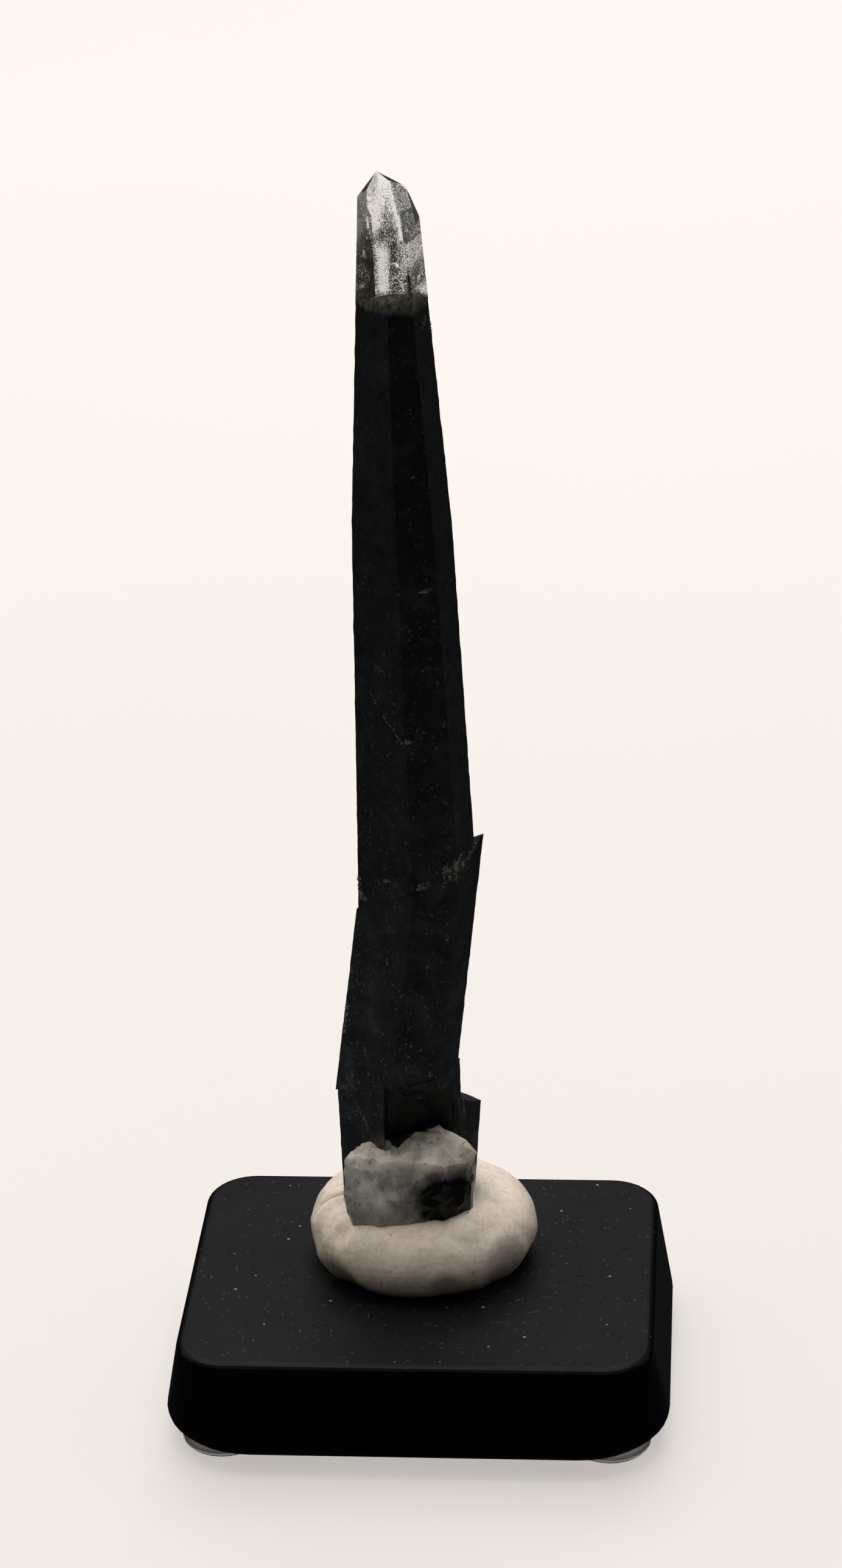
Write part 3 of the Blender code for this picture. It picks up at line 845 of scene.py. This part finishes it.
# %% Roughen the body
FACE_SCALE, FACE_DEPTH, FACE_SINK = 0.9, 0.045, 0.03
CHIP_SCALE, CHIP_DEPTH = 2.2, 0.28
CHIP_SHIFT = Vector((7.0, 1.0, 3.0))
CUT_MARGIN = 0.2

for vert in crystal.verts:
    ripple = noise.fractal(vert.co * FACE_SCALE, 1.0, 2.0, 4) * FACE_DEPTH
    chip = vert[broken] * noise.fractal(vert.co * CHIP_SCALE + CHIP_SHIFT, 1.0, 2.0, 4) * CHIP_DEPTH
    if vert.co.z < layer_height(vert.co.x, vert.co.y) - CUT_MARGIN:
        vert.co += vert.normal * (ripple + chip - FACE_SINK)
print("faces vary by", FACE_DEPTH, "mm, breaks by", CHIP_DEPTH, "mm")


# %% [markdown]
# The pale quartz is grown over the foot, and two rough surfaces at the same place would poke through each other as
# dark blotches. The crystal could be cut away there, but then the lump would be hollow. Its points are drawn back
# under the pale skin instead: a search tree finds the nearest point of that skin for each of them.

# %% Draw the crystal back under the pale quartz
PALE_TOP, PALE_BACK = 27.6, 1.5
SIDE_TOP = 24.5
SEARCH_REACH = 1.4
DEEP_ENOUGH = -0.3
TUCK_DEPTH = 0.35
FRONT_MARGIN = 0.5
SIDE_TURN = 0.5
LOOK_SHIFT = 0.95
FAR_FRONT = -40.0
BACKWARD = Vector((0.0, 1.0, 0.0))

shell = in_millimetres(pale.data)
pale_skin = BVHTree.FromBMesh(shell)
shell.free()
moved = 0
for vert in crystal.verts:
    if vert.co.z > PALE_TOP or vert.co.y > PALE_BACK:
        continue
    seen = pale_skin.ray_cast(Vector((vert.co.x * LOOK_SHIFT, FAR_FRONT, vert.co.z)), BACKWARD)[0]
    near, normal, _index, _far = pale_skin.find_nearest(vert.co, SEARCH_REACH)
    if seen is None or near is None or (vert.co - near).dot(normal) < DEEP_ENOUGH:
        continue
    if vert.co.y < seen.y + FRONT_MARGIN or (abs(normal.x) > SIDE_TURN and vert.co.z < SIDE_TOP):
        vert.co = near - normal * TUCK_DEPTH
        moved += 1
print("points drawn back under the pale quartz:", moved)

body = finished("crystal_body", crystal, chlorite_quartz)
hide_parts("chlorite_quartz")


# %% [markdown]
# The tip keeps the flat faces of its solid, because that is what bends the light. Only its edges are rounded by a
# few hundredths of a millimetre, as on the real crystal, so that they show as thin lines.

# %% Clear tip
EDGE_ANGLE = math.radians(8)
EDGE_ROUNDING = 0.045
TIP_GAP = 0.01

point = solid_copy("chlorite_quartz")
keep_side(point, LAYER_POINT + LAYER_NORMAL * TIP_GAP, -LAYER_NORMAL)
bmesh.ops.bevel(
    point, geom=[e for e in point.edges if e.calc_face_angle(0.0) > EDGE_ANGLE], offset=EDGE_ROUNDING,
    segments=2, affect="EDGES", profile=0.5, material=-1, clamp_overlap=True,
)
tip = finished("crystal_tip", point, clear_quartz)
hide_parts("chlorite_quartz")


# %% [markdown]
# ## Grains inside the tip
#
# Chlorite fell on the growing tip from the front, so the grains lie close behind its front faces and are thick
# enough together to cloud it. They could hang in a box and be cut by the tip, but most would be thrown away. Each
# cloud is a four-sided patch of the front view, and the faces of the tip tell how deep each grain may lie.

# %% Clouds of grains, as seen from the front
CHLORITE_ZONES = (
    # lower edge: height, left, right; upper edge: height, left, right; grains, deepest
    ((112.0, -3.75, -1.75), (114.6, -3.6, -1.85), 7000, 0.5), ((114.2, -3.5, -1.80), (116.6, -2.95, -1.95), 4600, 0.4),
    ((116.0, -2.9, -1.7), (117.8, -2.5, -2.0), 1300, 0.5), ((112.0, -0.45, 0.55), (116.4, -0.30, 0.35), 3600, 0.5),
    ((116.3, -2.00, 0.45), (117.5, -1.15, 0.15), 2500, 0.6), ((117.3, -1.35, 0.15), (118.7, -0.95, -0.15), 900, 0.5),
    ((118.5, -1.10, -0.30), (119.8, -0.90, -0.60), 260, 0.4), ((112.0, 0.6, 1.5), (113.4, 0.9, 1.4), 700, 0.4),
    ((111.8, 1.2, 2.9), (114.2, 1.4, 2.7), 6500, 1.2), ((112.0, -1.75, -1.40), (115.6, -1.75, -1.55), 900, 0.4),
)
FROST_ZONES = (
    ((112.2, 1.25, 2.80), (116.6, 1.20, 2.40), 9500, 0.9), ((116.4, 0.95, 2.45), (118.6, 0.40, 2.15), 11500, 0.7),
    ((118.4, 0.35, 2.15), (121.0, -0.45, 0.75), 8000, 0.6), ((113.0, 0.50, 1.35), (116.6, 0.45, 1.20), 1500, 0.4),
)
VEIL_ZONES = (
    ((115.4, -3.50, -2.30), (120.2, -3.30, -2.40), 10500, 0.35), ((119.6, -3.0, -1.8), (121.6, -1.75, -1.5), 900, 0.3),
    ((112.6, -1.70, -0.50), (116.2, -1.70, -0.50), 700, 0.6), ((116.8, -2.30, 0.60), (120.8, -2.10, -0.40), 1300, 0.5),
)
print("clouds:", len(CHLORITE_ZONES), "of chlorite,", len(FROST_ZONES), "of frost,", len(VEIL_ZONES), "of veil")


# %% [markdown]
# The tip is a convex block, so each of its faces is a wall: a spot is inside when it lies behind every wall, and the
# front of the tip at any place in the view is where the foremost wall stands.

# %% Walls of the tip
SMALLEST_WALL = 1e-7
FACING_FRONT = -0.05
WALL_MARGIN = 0.05

tip_shape = bmesh.new()
tip_shape.from_mesh(tip.data)
WALLS = [
    (face.calc_center_median() / MM, face.normal.copy())
    for face in tip_shape.faces if face.calc_area() > SMALLEST_WALL
]
tip_shape.free()


def front_of_tip(x, z):
    """How far forward the tip reaches at a place in the front view."""
    reach = -100.0
    for centre, normal in WALLS:
        if normal.y < FACING_FRONT:
            reach = max(reach, centre.y - (normal.x * (x - centre.x) + normal.z * (z - centre.z)) / normal.y)
    return reach


def inside_tip(spot):
    return all((spot - centre).dot(normal) < -WALL_MARGIN for centre, normal in WALLS)


print(len(WALLS), "walls; the tip's front is at y", round(front_of_tip(-1.0, 116.0), 2), "mm")


# %% [markdown]
# Spots are drawn at random, always from the same seed, so the cloud is the same each time. Even chance would give an
# even fog. A soft noise throws some spots away, and what is left gathers in wisps.

# %% Spots in the clouds
SKIN_DEPTH = 0.06
TOWARDS_FRONT = 1.6
WISP_SCALE = 1.6
SIDE_SHARE = 0.7


def zone_spots(zones, seed, wisps, spread):
    """Places inside the tip, behind its front faces, thinned by a cloudy noise."""
    dice = random.Random(seed)
    spots = []
    for (low, low_left, low_right), (high, high_left, high_right), count, deepest in zones:
        for _ in range(count):
            share, across = dice.random(), dice.random()
            z = low + (high - low) * share + dice.gauss(0, spread)
            left = low_left + (high_left - low_left) * share
            right = low_right + (high_right - low_right) * share
            x = left + (right - left) * across + dice.gauss(0, spread * SIDE_SHARE)
            spot = Vector((x, front_of_tip(x, z) + SKIN_DEPTH + deepest * dice.random() ** TOWARDS_FRONT, z))
            if noise.fractal(spot * WISP_SCALE, 1.0, 2.0, 3) > wisps and inside_tip(spot):
                spots.append(spot)
    return spots


cloud_spots = zone_spots(CHLORITE_ZONES, 5, -0.5, 0.24)
grey_spots = zone_spots(FROST_ZONES, 8, -0.7, 0.05)
veil_spots = zone_spots(VEIL_ZONES, 9, -0.5, 0.15)
print("spots in the clouds:", len(cloud_spots), "dark,", len(grey_spots), "grey,", len(veil_spots), "pale")


# %% [markdown]
# One more layer of chlorite is piled on the surface where the dark body ends, so that the cut between the two pieces
# doesn't show as a clean line. It is thickest in front, where it can be seen.

# %% Spots on the layer
LAYER_LEFT, LAYER_RIGHT = -3.8, 3.0
LAYER_FRONT_AT = 111.3
LAYER_INSET, LAYER_DEPTH, LAYER_TO_FRONT = 0.08, 6.0, 2.2
LAYER_LIFT, LAYER_PILE = 0.04, 0.34


def layer_spots(count, seed):
    """Places piled on the layer where the chlorite ends."""
    dice = random.Random(seed)
    spots = []
    for _ in range(count):
        x = dice.uniform(LAYER_LEFT, LAYER_RIGHT)
        y = front_of_tip(x, LAYER_FRONT_AT) + LAYER_INSET + LAYER_DEPTH * dice.random() ** LAYER_TO_FRONT
        spot = Vector((x, y, layer_height(x, y) + LAYER_LIFT + abs(dice.gauss(0, LAYER_PILE))))
        if inside_tip(spot):
            spots.append(spot)
    return spots


dark_spots = cloud_spots + layer_spots(9000, 6)
print("dark spots with the layer:", len(dark_spots))


# %% [markdown]
# A chlorite plate is a few hundredths of a millimetre across, so three sides are enough for it. Thousands of objects
# would slow the scene down, so each cloud is one mesh. The plates are added in small batches, because a mesh
# operator looks through the whole mesh each time that it is called.

# %% Scatter the grains
BATCH = 120


def pour(bm, whole):
    """Adds one bmesh to another and frees it."""
    holder = bpy.data.meshes.new("batch")
    bm.to_mesh(holder)
    bm.free()
    whole.from_mesh(holder)
    bpy.data.meshes.remove(holder)


def scatter_grains(spots, smallest, largest, dice):
    """A bmesh of tiny three-sided plates, one at each spot, turned any way."""
    whole, batch = bmesh.new(), bmesh.new()
    for number, spot in enumerate(spots):
        size = dice.uniform(smallest, largest)
        axis = Vector((dice.gauss(0, 1), dice.gauss(0, 1), dice.gauss(0, 1)))
        spin = Matrix.Rotation(dice.uniform(0, math.tau), 4, axis)
        bmesh.ops.create_cone(
            batch, segments=3, radius1=size, radius2=0.0, depth=size * 0.6, cap_ends=True,
            matrix=Matrix.Translation(spot) @ spin,
        )
        if number % BATCH == BATCH - 1 or number == len(spots) - 1:
            pour(batch, whole)
            batch = bmesh.new()
    batch.free()
    return whole


flakes = finished("tip_chlorite", scatter_grains(dark_spots, 0.030, 0.070, random.Random(1)), chlorite_grains)
frost = finished("tip_frost", scatter_grains(grey_spots, 0.026, 0.056, random.Random(2)), frost_grains)
veil = finished("tip_veil", scatter_grains(veil_spots, 0.026, 0.056, random.Random(3)), veil_grains)


# %% [markdown]
# ## Grit on the breaks
#
# The crystal was knocked and healed, and crushed quartz marks each break and each long scratch. Texture alone stays
# flat against the light, so the grit is real grains, half sunk in the surface. Each scar is a short path in the
# front view with a width, and rays from the front find where its grains land.

# %% Scars
SCARS = (
    # path in the front view, half width, grains, smallest, largest
    (((3.5, 56.1), (5.0, 57.2)), 0.50, 620, 0.05, 0.20), (((3.2, 55.2), (5.2, 56.0)), 0.45, 420, 0.03, 0.10),
    (((0.9, 54.9), (1.9, 55.5)), 0.24, 260, 0.06, 0.22), (((-2.5, 54.1), (-2.1, 54.5)), 0.16, 60, 0.06, 0.17),
    (((-3.4, 53.4), (-1.2, 54.6)), 0.45, 130, 0.03, 0.08), (((-5.3, 53.2), (-4.95, 51.0)), 0.20, 260, 0.06, 0.20),
    (((-5.0, 51.3), (-4.4, 51.0)), 0.16, 60, 0.05, 0.15), (((5.6, 57.0), (6.3, 57.9)), 0.20, 130, 0.05, 0.15),
    (((-2.9, 75.9), (-2.2, 75.9)), 0.30, 70, 0.03, 0.11), (((-3.5, 73.2), (-2.4, 71.6)), 0.07, 70, 0.03, 0.09),
    (((-2.2, 71.4), (-0.1, 69.2)), 0.07, 130, 0.03, 0.10), (((3.5, 71.0), (3.6, 71.3)), 0.09, 20, 0.05, 0.12),
    (((3.0, 107.6), (3.1, 108.4)), 0.20, 130, 0.05, 0.19), (((2.3, 108.4), (2.9, 109.6)), 0.25, 90, 0.03, 0.12),
    (((1.1, 95.0), (1.3, 95.2)), 0.10, 20, 0.05, 0.12), (((4.15, 35.3), (4.25, 31.4)), 0.05, 130, 0.03, 0.09),
    (((4.25, 31.6), (4.25, 27.2)), 0.06, 200, 0.05, 0.14), (((-2.2, 30.9), (0.6, 30.4)), 0.40, 240, 0.03, 0.12),
    (((1.2, 34.7), (1.6, 34.7)), 0.22, 30, 0.03, 0.10), (((-7.3, 30.9), (-7.0, 30.5)), 0.25, 60, 0.03, 0.12),
    (((-6.6, 30.4), (-5.9, 29.4)), 0.10, 70, 0.03, 0.10), (((-5.9, 29.4), (-4.9, 27.8)), 0.13, 130, 0.05, 0.14),
    (((-7.25, 36.4), (-6.72, 39.6)), 0.14, 420, 0.05, 0.15), (((-6.5, 40.0), (-1.0, 52.5)), 1.60, 70, 0.015, 0.045),
    (((2.6, 89.0), (3.6, 104.0)), 0.35, 60, 0.02, 0.06),
)
print(len(SCARS), "scars with", sum(scar[2] for scar in SCARS), "grains")


# %% [markdown]
# A ray that is sent back from the front tells both where the surface is and which way it faces there, so each grain
# can be pushed in by part of its own size.

# %% Grains on the scars
SCAR_SPREAD = 0.6
SUNK_SHARE = 0.4


def scar_spots():
    """Where the grains of each scar land on the crystal's front."""
    dice = random.Random(21)
    shape = in_millimetres(body.data)
    crystal_skin = BVHTree.FromBMesh(shape)
    shape.free()
    groups = []
    for ((x0, z0), (x1, z1)), width, count, smallest, largest in SCARS:
        spots = []
        for _ in range(count):
            share = dice.random()
            x = x0 + (x1 - x0) * share + dice.gauss(0, width * SCAR_SPREAD)
            z = z0 + (z1 - z0) * share + dice.gauss(0, width * SCAR_SPREAD)
            hit, normal, _index, _far = crystal_skin.ray_cast(Vector((x, FAR_FRONT, z)), BACKWARD)
            if hit is not None:
                spots.append(hit - normal * smallest * SUNK_SHARE)
        groups.append((spots, smallest, largest))
    return groups


grit_mesh = bmesh.new()
grit_dice = random.Random(22)
for spots, smallest, largest in scar_spots():
    pour(scatter_grains(spots, smallest, largest, grit_dice), grit_mesh)
grit = finished("crushed_quartz", grit_mesh, crushed_quartz)


# %% [markdown]
# ## Putty ring
#
# Someone rolled the putty between their fingers, closed it into a ring with its ends lapped on the left, and pressed
# the crystal into it. A plain torus would be too even, and a sculpted one could not be repeated. So a circle is spun
# into a ring, and then each of its points is moved by formulas that stand for the roll: its thickness waves, it is
# pressed flatter inside and below, and a step marks the lap.

# %% Roll and lap
RING_CENTRE = (-0.2, 2.7)
RING_REACH = (7.2, 6.1)
ROLL_RADIUS = 3.9
ROLL_SINK = 0.35
INNER_PRESS = 0.92
BASE_TOP = 11.3
SPIN_RADIUS = 3.0
LAP_PLACE, LAP_SLANT, LAP_WIDTH, LAP_DEPTH = 203.0, 16.0, 3.4, 0.34
GROOVE_PLACE, GROOVE_WIDTH, GROOVE_DEPTH = 2.2, 1.6, 0.10
ROLL_SWELL, THREE_WAVES, FIVE_WAVES, RIGHT_SWELL = 1.02, 0.026, 0.02, 0.035

roll = bmesh.new()
section = bmesh.ops.create_circle(roll, segments=56, radius=1.0)["verts"]
bmesh.ops.rotate(roll, matrix=Matrix.Rotation(math.pi / 2, 3, "X"), verts=section)
bmesh.ops.translate(roll, vec=(SPIN_RADIUS, 0.0, 0.0), verts=section)
bmesh.ops.spin(roll, geom=roll.edges[:], cent=(0, 0, 0), axis=(0, 0, 1), angle=math.tau, steps=220, use_merge=True)
bmesh.ops.remove_doubles(roll, verts=roll.verts, dist=1e-4)
for vert in roll.verts:
    turn = math.atan2(vert.co.y, vert.co.x)
    around = math.atan2(vert.co.z, math.hypot(vert.co.x, vert.co.y) - SPIN_RADIUS)
    degrees = math.degrees(turn) % 360.0
    seam = (degrees - LAP_PLACE + LAP_SLANT * math.sin(around + 0.5)) / LAP_WIDTH
    groove = GROOVE_DEPTH * math.exp(-((seam - GROOVE_PLACE) / GROOVE_WIDTH) ** 2)
    lap = LAP_DEPTH * math.exp(-seam * seam) - groove
    waves = THREE_WAVES * math.sin(3 * turn + 0.7) + FIVE_WAVES * math.sin(5 * turn + 2 * around)
    size = ROLL_RADIUS * (ROLL_SWELL + waves + RIGHT_SWELL * math.cos(turn + 0.5) - lap)
    inner = INNER_PRESS if math.cos(around) < 0 else 1.0
    x = RING_CENTRE[0] + (RING_REACH[0] + inner * size * math.cos(around)) * math.cos(turn)
    y = RING_CENTRE[1] + (RING_REACH[1] + inner * size * math.cos(around)) * math.sin(turn)
    z = BASE_TOP + ROLL_RADIUS - ROLL_SINK + size * math.sin(around)
    vert.co = (x, y, max(z, BASE_TOP + 0.02))
bmesh.ops.recalc_face_normals(roll, faces=roll.faces)
print("the ring has", len(roll.verts), "points and is", 2 * ROLL_RADIUS, "mm thick before it is pressed")


# %% [markdown]
# Fingers left dents all round. A finger pushes the putty in and a low rim up around it, so each dent is a bell curve
# with a faint ring of the opposite sign. Two dents are negative: there the putty was pushed up against the quartz. A
# last soft noise takes the evenness out of what is left.

# %% Dents
DENTS = (
    # place, reach, depth
    ((-9.3, -0.6, 15.0), 1.4, 0.80), ((-9.6, 3.4, 16.0), 1.3, 0.60), ((7.4, -3.2, 14.2), 2.0, 0.85),
    ((2.6, -6.6, 13.2), 1.4, 0.60), ((-4.0, -5.8, 15.5), 1.8, 0.35), ((9.5, 3.6, 17.0), 2.4, 0.35),
    ((-7.4, -3.6, 17.2), 0.9, 0.55), ((-7.0, -4.0, 13.0), 1.6, 0.45), ((4.6, -3.6, 18.6), 1.5, -0.75),
    ((5.8, -1.8, 18.9), 1.5, -0.60),
    ((-1.0, 12.0, 15.5), 2.6, 0.60), ((6.5, 10.0, 15.0), 2.2, 0.45), ((-7.5, 9.5, 15.8), 2.3, 0.50),
)
DENT_EDGE = 2.2
RIM_SHARE, RIM_PLACE, RIM_WIDTH = 0.25, 1.5, 0.4
PUTTY_SCALE, PUTTY_DEPTH = 0.5, 0.10
SMOOTH_BELOW = math.radians(70)

for centre, reach, depth in DENTS:
    roll.normal_update()
    for vert in roll.verts:
        gap = (vert.co - Vector(centre)).length / reach
        if gap < DENT_EDGE and vert.co.z > BASE_TOP + 0.3:
            rim = RIM_SHARE * math.exp(-((gap - RIM_PLACE) / RIM_WIDTH) ** 2)
            vert.co -= vert.normal * depth * (math.exp(-gap * gap) - rim)
roll.normal_update()
for vert in roll.verts:
    if vert.co.z > BASE_TOP + 0.1:
        vert.co += vert.normal * noise.fractal(vert.co * PUTTY_SCALE, 1.0, 2.0, 3) * PUTTY_DEPTH
putty = finished("putty", roll, mineral_putty, smooth_angle=SMOOTH_BELOW)
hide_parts("putty_ring")


# %% [markdown]
# ## Fibres on the base
#
# A few pale curled fibres from a dust cloth lie on the black top. Hair particles would be lost when the model is
# saved, so each fibre is a thin three-sided tube: small triangles are set along an arc and bridged one to the next,
# and both ends are closed.

# %% Fibres
FIBRE_COUNT = 20
FIBRE_RADIUS = 0.024
FIBRE_STEPS = 6
FIBRE_PLACES = ((14.0, -1.0), (13.5, -4.0), (-11.0, -9.0))
FIBRE_SPREAD = (3.6, 3.0)
FIBRE_BEND = 1.6
FIBRE_LENGTHS = (0.4, 1.6)
PUTTY_REACH = (12.5, 11.5)
BASE_REACH = (20.0, 15.0)


def on_putty_or_edge(spot):
    aside, behind = spot.x - RING_CENTRE[0], spot.y - RING_CENTRE[1]
    near_putty = math.hypot(aside / PUTTY_REACH[0], behind / PUTTY_REACH[1]) < 1.0
    return abs(spot.x) > BASE_REACH[0] or abs(spot.y) > BASE_REACH[1] or near_putty


threads = bmesh.new()
dice = random.Random(31)
made = 0
while made < FIBRE_COUNT:
    x, y = dice.choice(FIBRE_PLACES)
    here = Vector((x + dice.gauss(0, FIBRE_SPREAD[0]), y + dice.gauss(0, FIBRE_SPREAD[1]), BASE_TOP + 0.025))
    if on_putty_or_edge(here):
        continue
    heading, bend = dice.uniform(0, math.tau), dice.uniform(-FIBRE_BEND, FIBRE_BEND)
    length = dice.uniform(*FIBRE_LENGTHS)
    loops = []
    for _ in range(FIBRE_STEPS + 1):
        upright = Matrix.Rotation(heading, 4, "Z") @ Matrix.Rotation(math.pi / 2, 4, "Y")
        ring = bmesh.ops.create_circle(
            threads, segments=3, radius=FIBRE_RADIUS, matrix=Matrix.Translation(here) @ upright,
        )["verts"]
        loops.append([threads.edges.get((ring[k - 1], ring[k])) for k in range(3)])
        here += Vector((math.cos(heading), math.sin(heading), 0.0)) * length / FIBRE_STEPS
        heading += bend / FIBRE_STEPS
    for first, second in zip(loops, loops[1:]):
        bmesh.ops.bridge_loops(threads, edges=first + second)
    bmesh.ops.holes_fill(threads, edges=loops[0] + loops[-1], sides=0)
    made += 1
bmesh.ops.recalc_face_normals(threads, faces=threads.faces)
fibres = finished("dust_fibres", threads, fibre)


# %% [markdown]
# ## Floor
#
# The object stands on pale paper that runs on to the horizon. A curved backdrop would catch the light unevenly, so
# one large flat sheet does it. It is marked as backdrop, which keeps it out of the size box.

# %% Floor
PAPER_LOW, PAPER_HIGH = (0.305, 0.290, 0.278), (0.316, 0.301, 0.289)

sheet = bmesh.new()
bmesh.ops.create_grid(sheet, x_segments=2, y_segments=2, size=3.0)
floor_mesh = bpy.data.meshes.new("floor")
sheet.to_mesh(floor_mesh)
sheet.free()
floor = bpy.data.objects.new("floor", floor_mesh)
scene.collection.objects.link(floor)
floor.visible_glossy = False
paper = Material("paper")
paper.set(Roughness=0.9, Specular_IOR_Level=0.1)
paper.colour(paper.ramp(paper.noise(3.0, 2.0), (0.3, PAPER_LOW), (0.7, PAPER_HIGH)))
floor_mesh.materials.append(paper.done())
floor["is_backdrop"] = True


# %% [markdown]
# ## Lights
#
# One broad soft light hangs overhead and a little behind, so that the tip is lit through and the side towards the
# camera stays dim. That keeps the base's front black. A weak warm light stands at the left, and a cooler one at the
# right.

# %% Lights on the object
WARM_WHITE = (1.0, 0.985, 0.97)


def area_light(name, place, aim, size, power, colour):
    light = bpy.data.lights.new(name, "AREA")
    light.shape = "RECTANGLE"
    light.size, light.size_y = size
    light.energy = power
    light.color = colour
    lamp = bpy.data.objects.new(name, light)
    lamp.location = place
    lamp.rotation_euler = (Vector(aim) - Vector(place)).to_track_quat("-Z", "Y").to_euler()
    scene.collection.objects.link(lamp)
    print(f"{name}: {power} W at {place}")
    return lamp


area_light(
    "overhead", place=(-0.08, 0.30, 0.75), aim=(0.0, 0.05, 0.0), size=(0.8, 0.8), power=5.9, colour=WARM_WHITE,
)
area_light(
    "left_side", place=(-0.60, 0.10, 0.30), aim=(0.0, 0.0, 0.06), size=(0.4, 0.5), power=0.35,
    colour=(1.0, 0.97, 0.93),
)
area_light(
    "right_side", place=(0.60, 0.20, 0.30), aim=(0.0, 0.0, 0.06), size=(0.4, 0.5), power=0.25,
    colour=(0.96, 0.98, 1.0),
)


# %% [markdown]
# In the picture the paper is nearly white right up to the base, which those three lights don't reach. Stronger ones
# would bleach the object, so two more lights are linked to the floor alone: an even one that casts no shadow, and
# one that lifts the far floor.

# %% Lights on the floor alone
only_floor = bpy.data.collections.new("only_floor")
only_floor.objects.link(floor)
even = bpy.data.objects.new("even_floor_light", bpy.data.lights.new("even_floor_light", "SUN"))
even.data.energy = 5.0
even.data.color = WARM_WHITE
scene.collection.objects.link(even)
even.light_linking.receiver_collection = only_floor
even.light_linking.blocker_collection = only_floor
far_fill = area_light(
    "far_fill", place=(0.0, 0.75, 0.70), aim=(0.0, 0.62, 0.0), size=(0.6, 0.6), power=3.4, colour=WARM_WHITE,
)
far_fill.light_linking.receiver_collection = only_floor
print("lights for the floor:", even.name, "and", far_fill.name)


# %% [markdown]
# ## Room
#
# What the polished faces mirror is the room: bright above and behind, dark on the camera's side and below the
# horizon. A picture of a studio could do it, but two soft ramps over the direction of view are enough, and nothing
# sharp then shows in the quartz.

# %% Room
world = bpy.data.worlds.new("room")
scene.world = world
world.use_nodes = True
nodes, link = world.node_tree.nodes, world.node_tree.links.new
direction = nodes.new("ShaderNodeTexCoord")
split = nodes.new("ShaderNodeSeparateXYZ")
link(direction.outputs["Generated"], split.inputs[0])


def room_math(operation, *values):
    node = nodes.new("ShaderNodeMath")
    node.operation = operation
    for socket, value in zip(node.inputs, values):
        if isinstance(value, bpy.types.NodeSocket):
            link(value, socket)
        else:
            socket.default_value = value
    return node.outputs[0]


def room_step(source, low, high):
    """A soft step from 0 at one height of view to 1 at another."""
    node = nodes.new("ShaderNodeMapRange")
    node.interpolation_type = "SMOOTHSTEP"
    node.inputs["From Min"].default_value = low
    node.inputs["From Max"].default_value = high
    link(source, node.inputs["Value"])
    return node.outputs["Result"]


print("the room starts with", len(nodes), "nodes")


# %% Bright cap and dark front
BEHIND_SHARE = 0.12
ROOM_DARK, ROOM_BRIGHT = (0.015, 0.015, 0.016, 1.0), (0.80, 0.79, 0.78, 1.0)

tilt = room_math("MULTIPLY_ADD", split.outputs["Y"], BEHIND_SHARE, split.outputs["Z"])
glow = room_math("MULTIPLY", room_step(tilt, 0.35, 1.0), room_step(split.outputs["Z"], -0.05, 0.10))
shade = nodes.new("ShaderNodeMix")
shade.data_type = "RGBA"
link(glow, shade.inputs["Factor"])
shade.inputs[6].default_value = ROOM_DARK
shade.inputs[7].default_value = ROOM_BRIGHT
link(shade.outputs[2], nodes["Background"].inputs["Color"])

scene.view_settings.view_transform = "Standard"
scene.view_settings.look = "None"
scene.view_settings.exposure = 0.0
print("the room has", len(nodes), "nodes; view transform", scene.view_settings.view_transform)


# %% [markdown]
# ## Sizes
#
# The box of the solids and the box of what was made over them are printed side by side, because the finer meshes
# should not change the object's size.

# %% Sizes and finish
sizes = {
    "before": [list(corner) for corner in frame_box],
    "after": [list(corner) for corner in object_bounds()],
}
for when, (low_corner, high_corner) in sizes.items():
    print(when, [round((high - low) / MM, 2) for low, high in zip(low_corner, high_corner)], "mm")
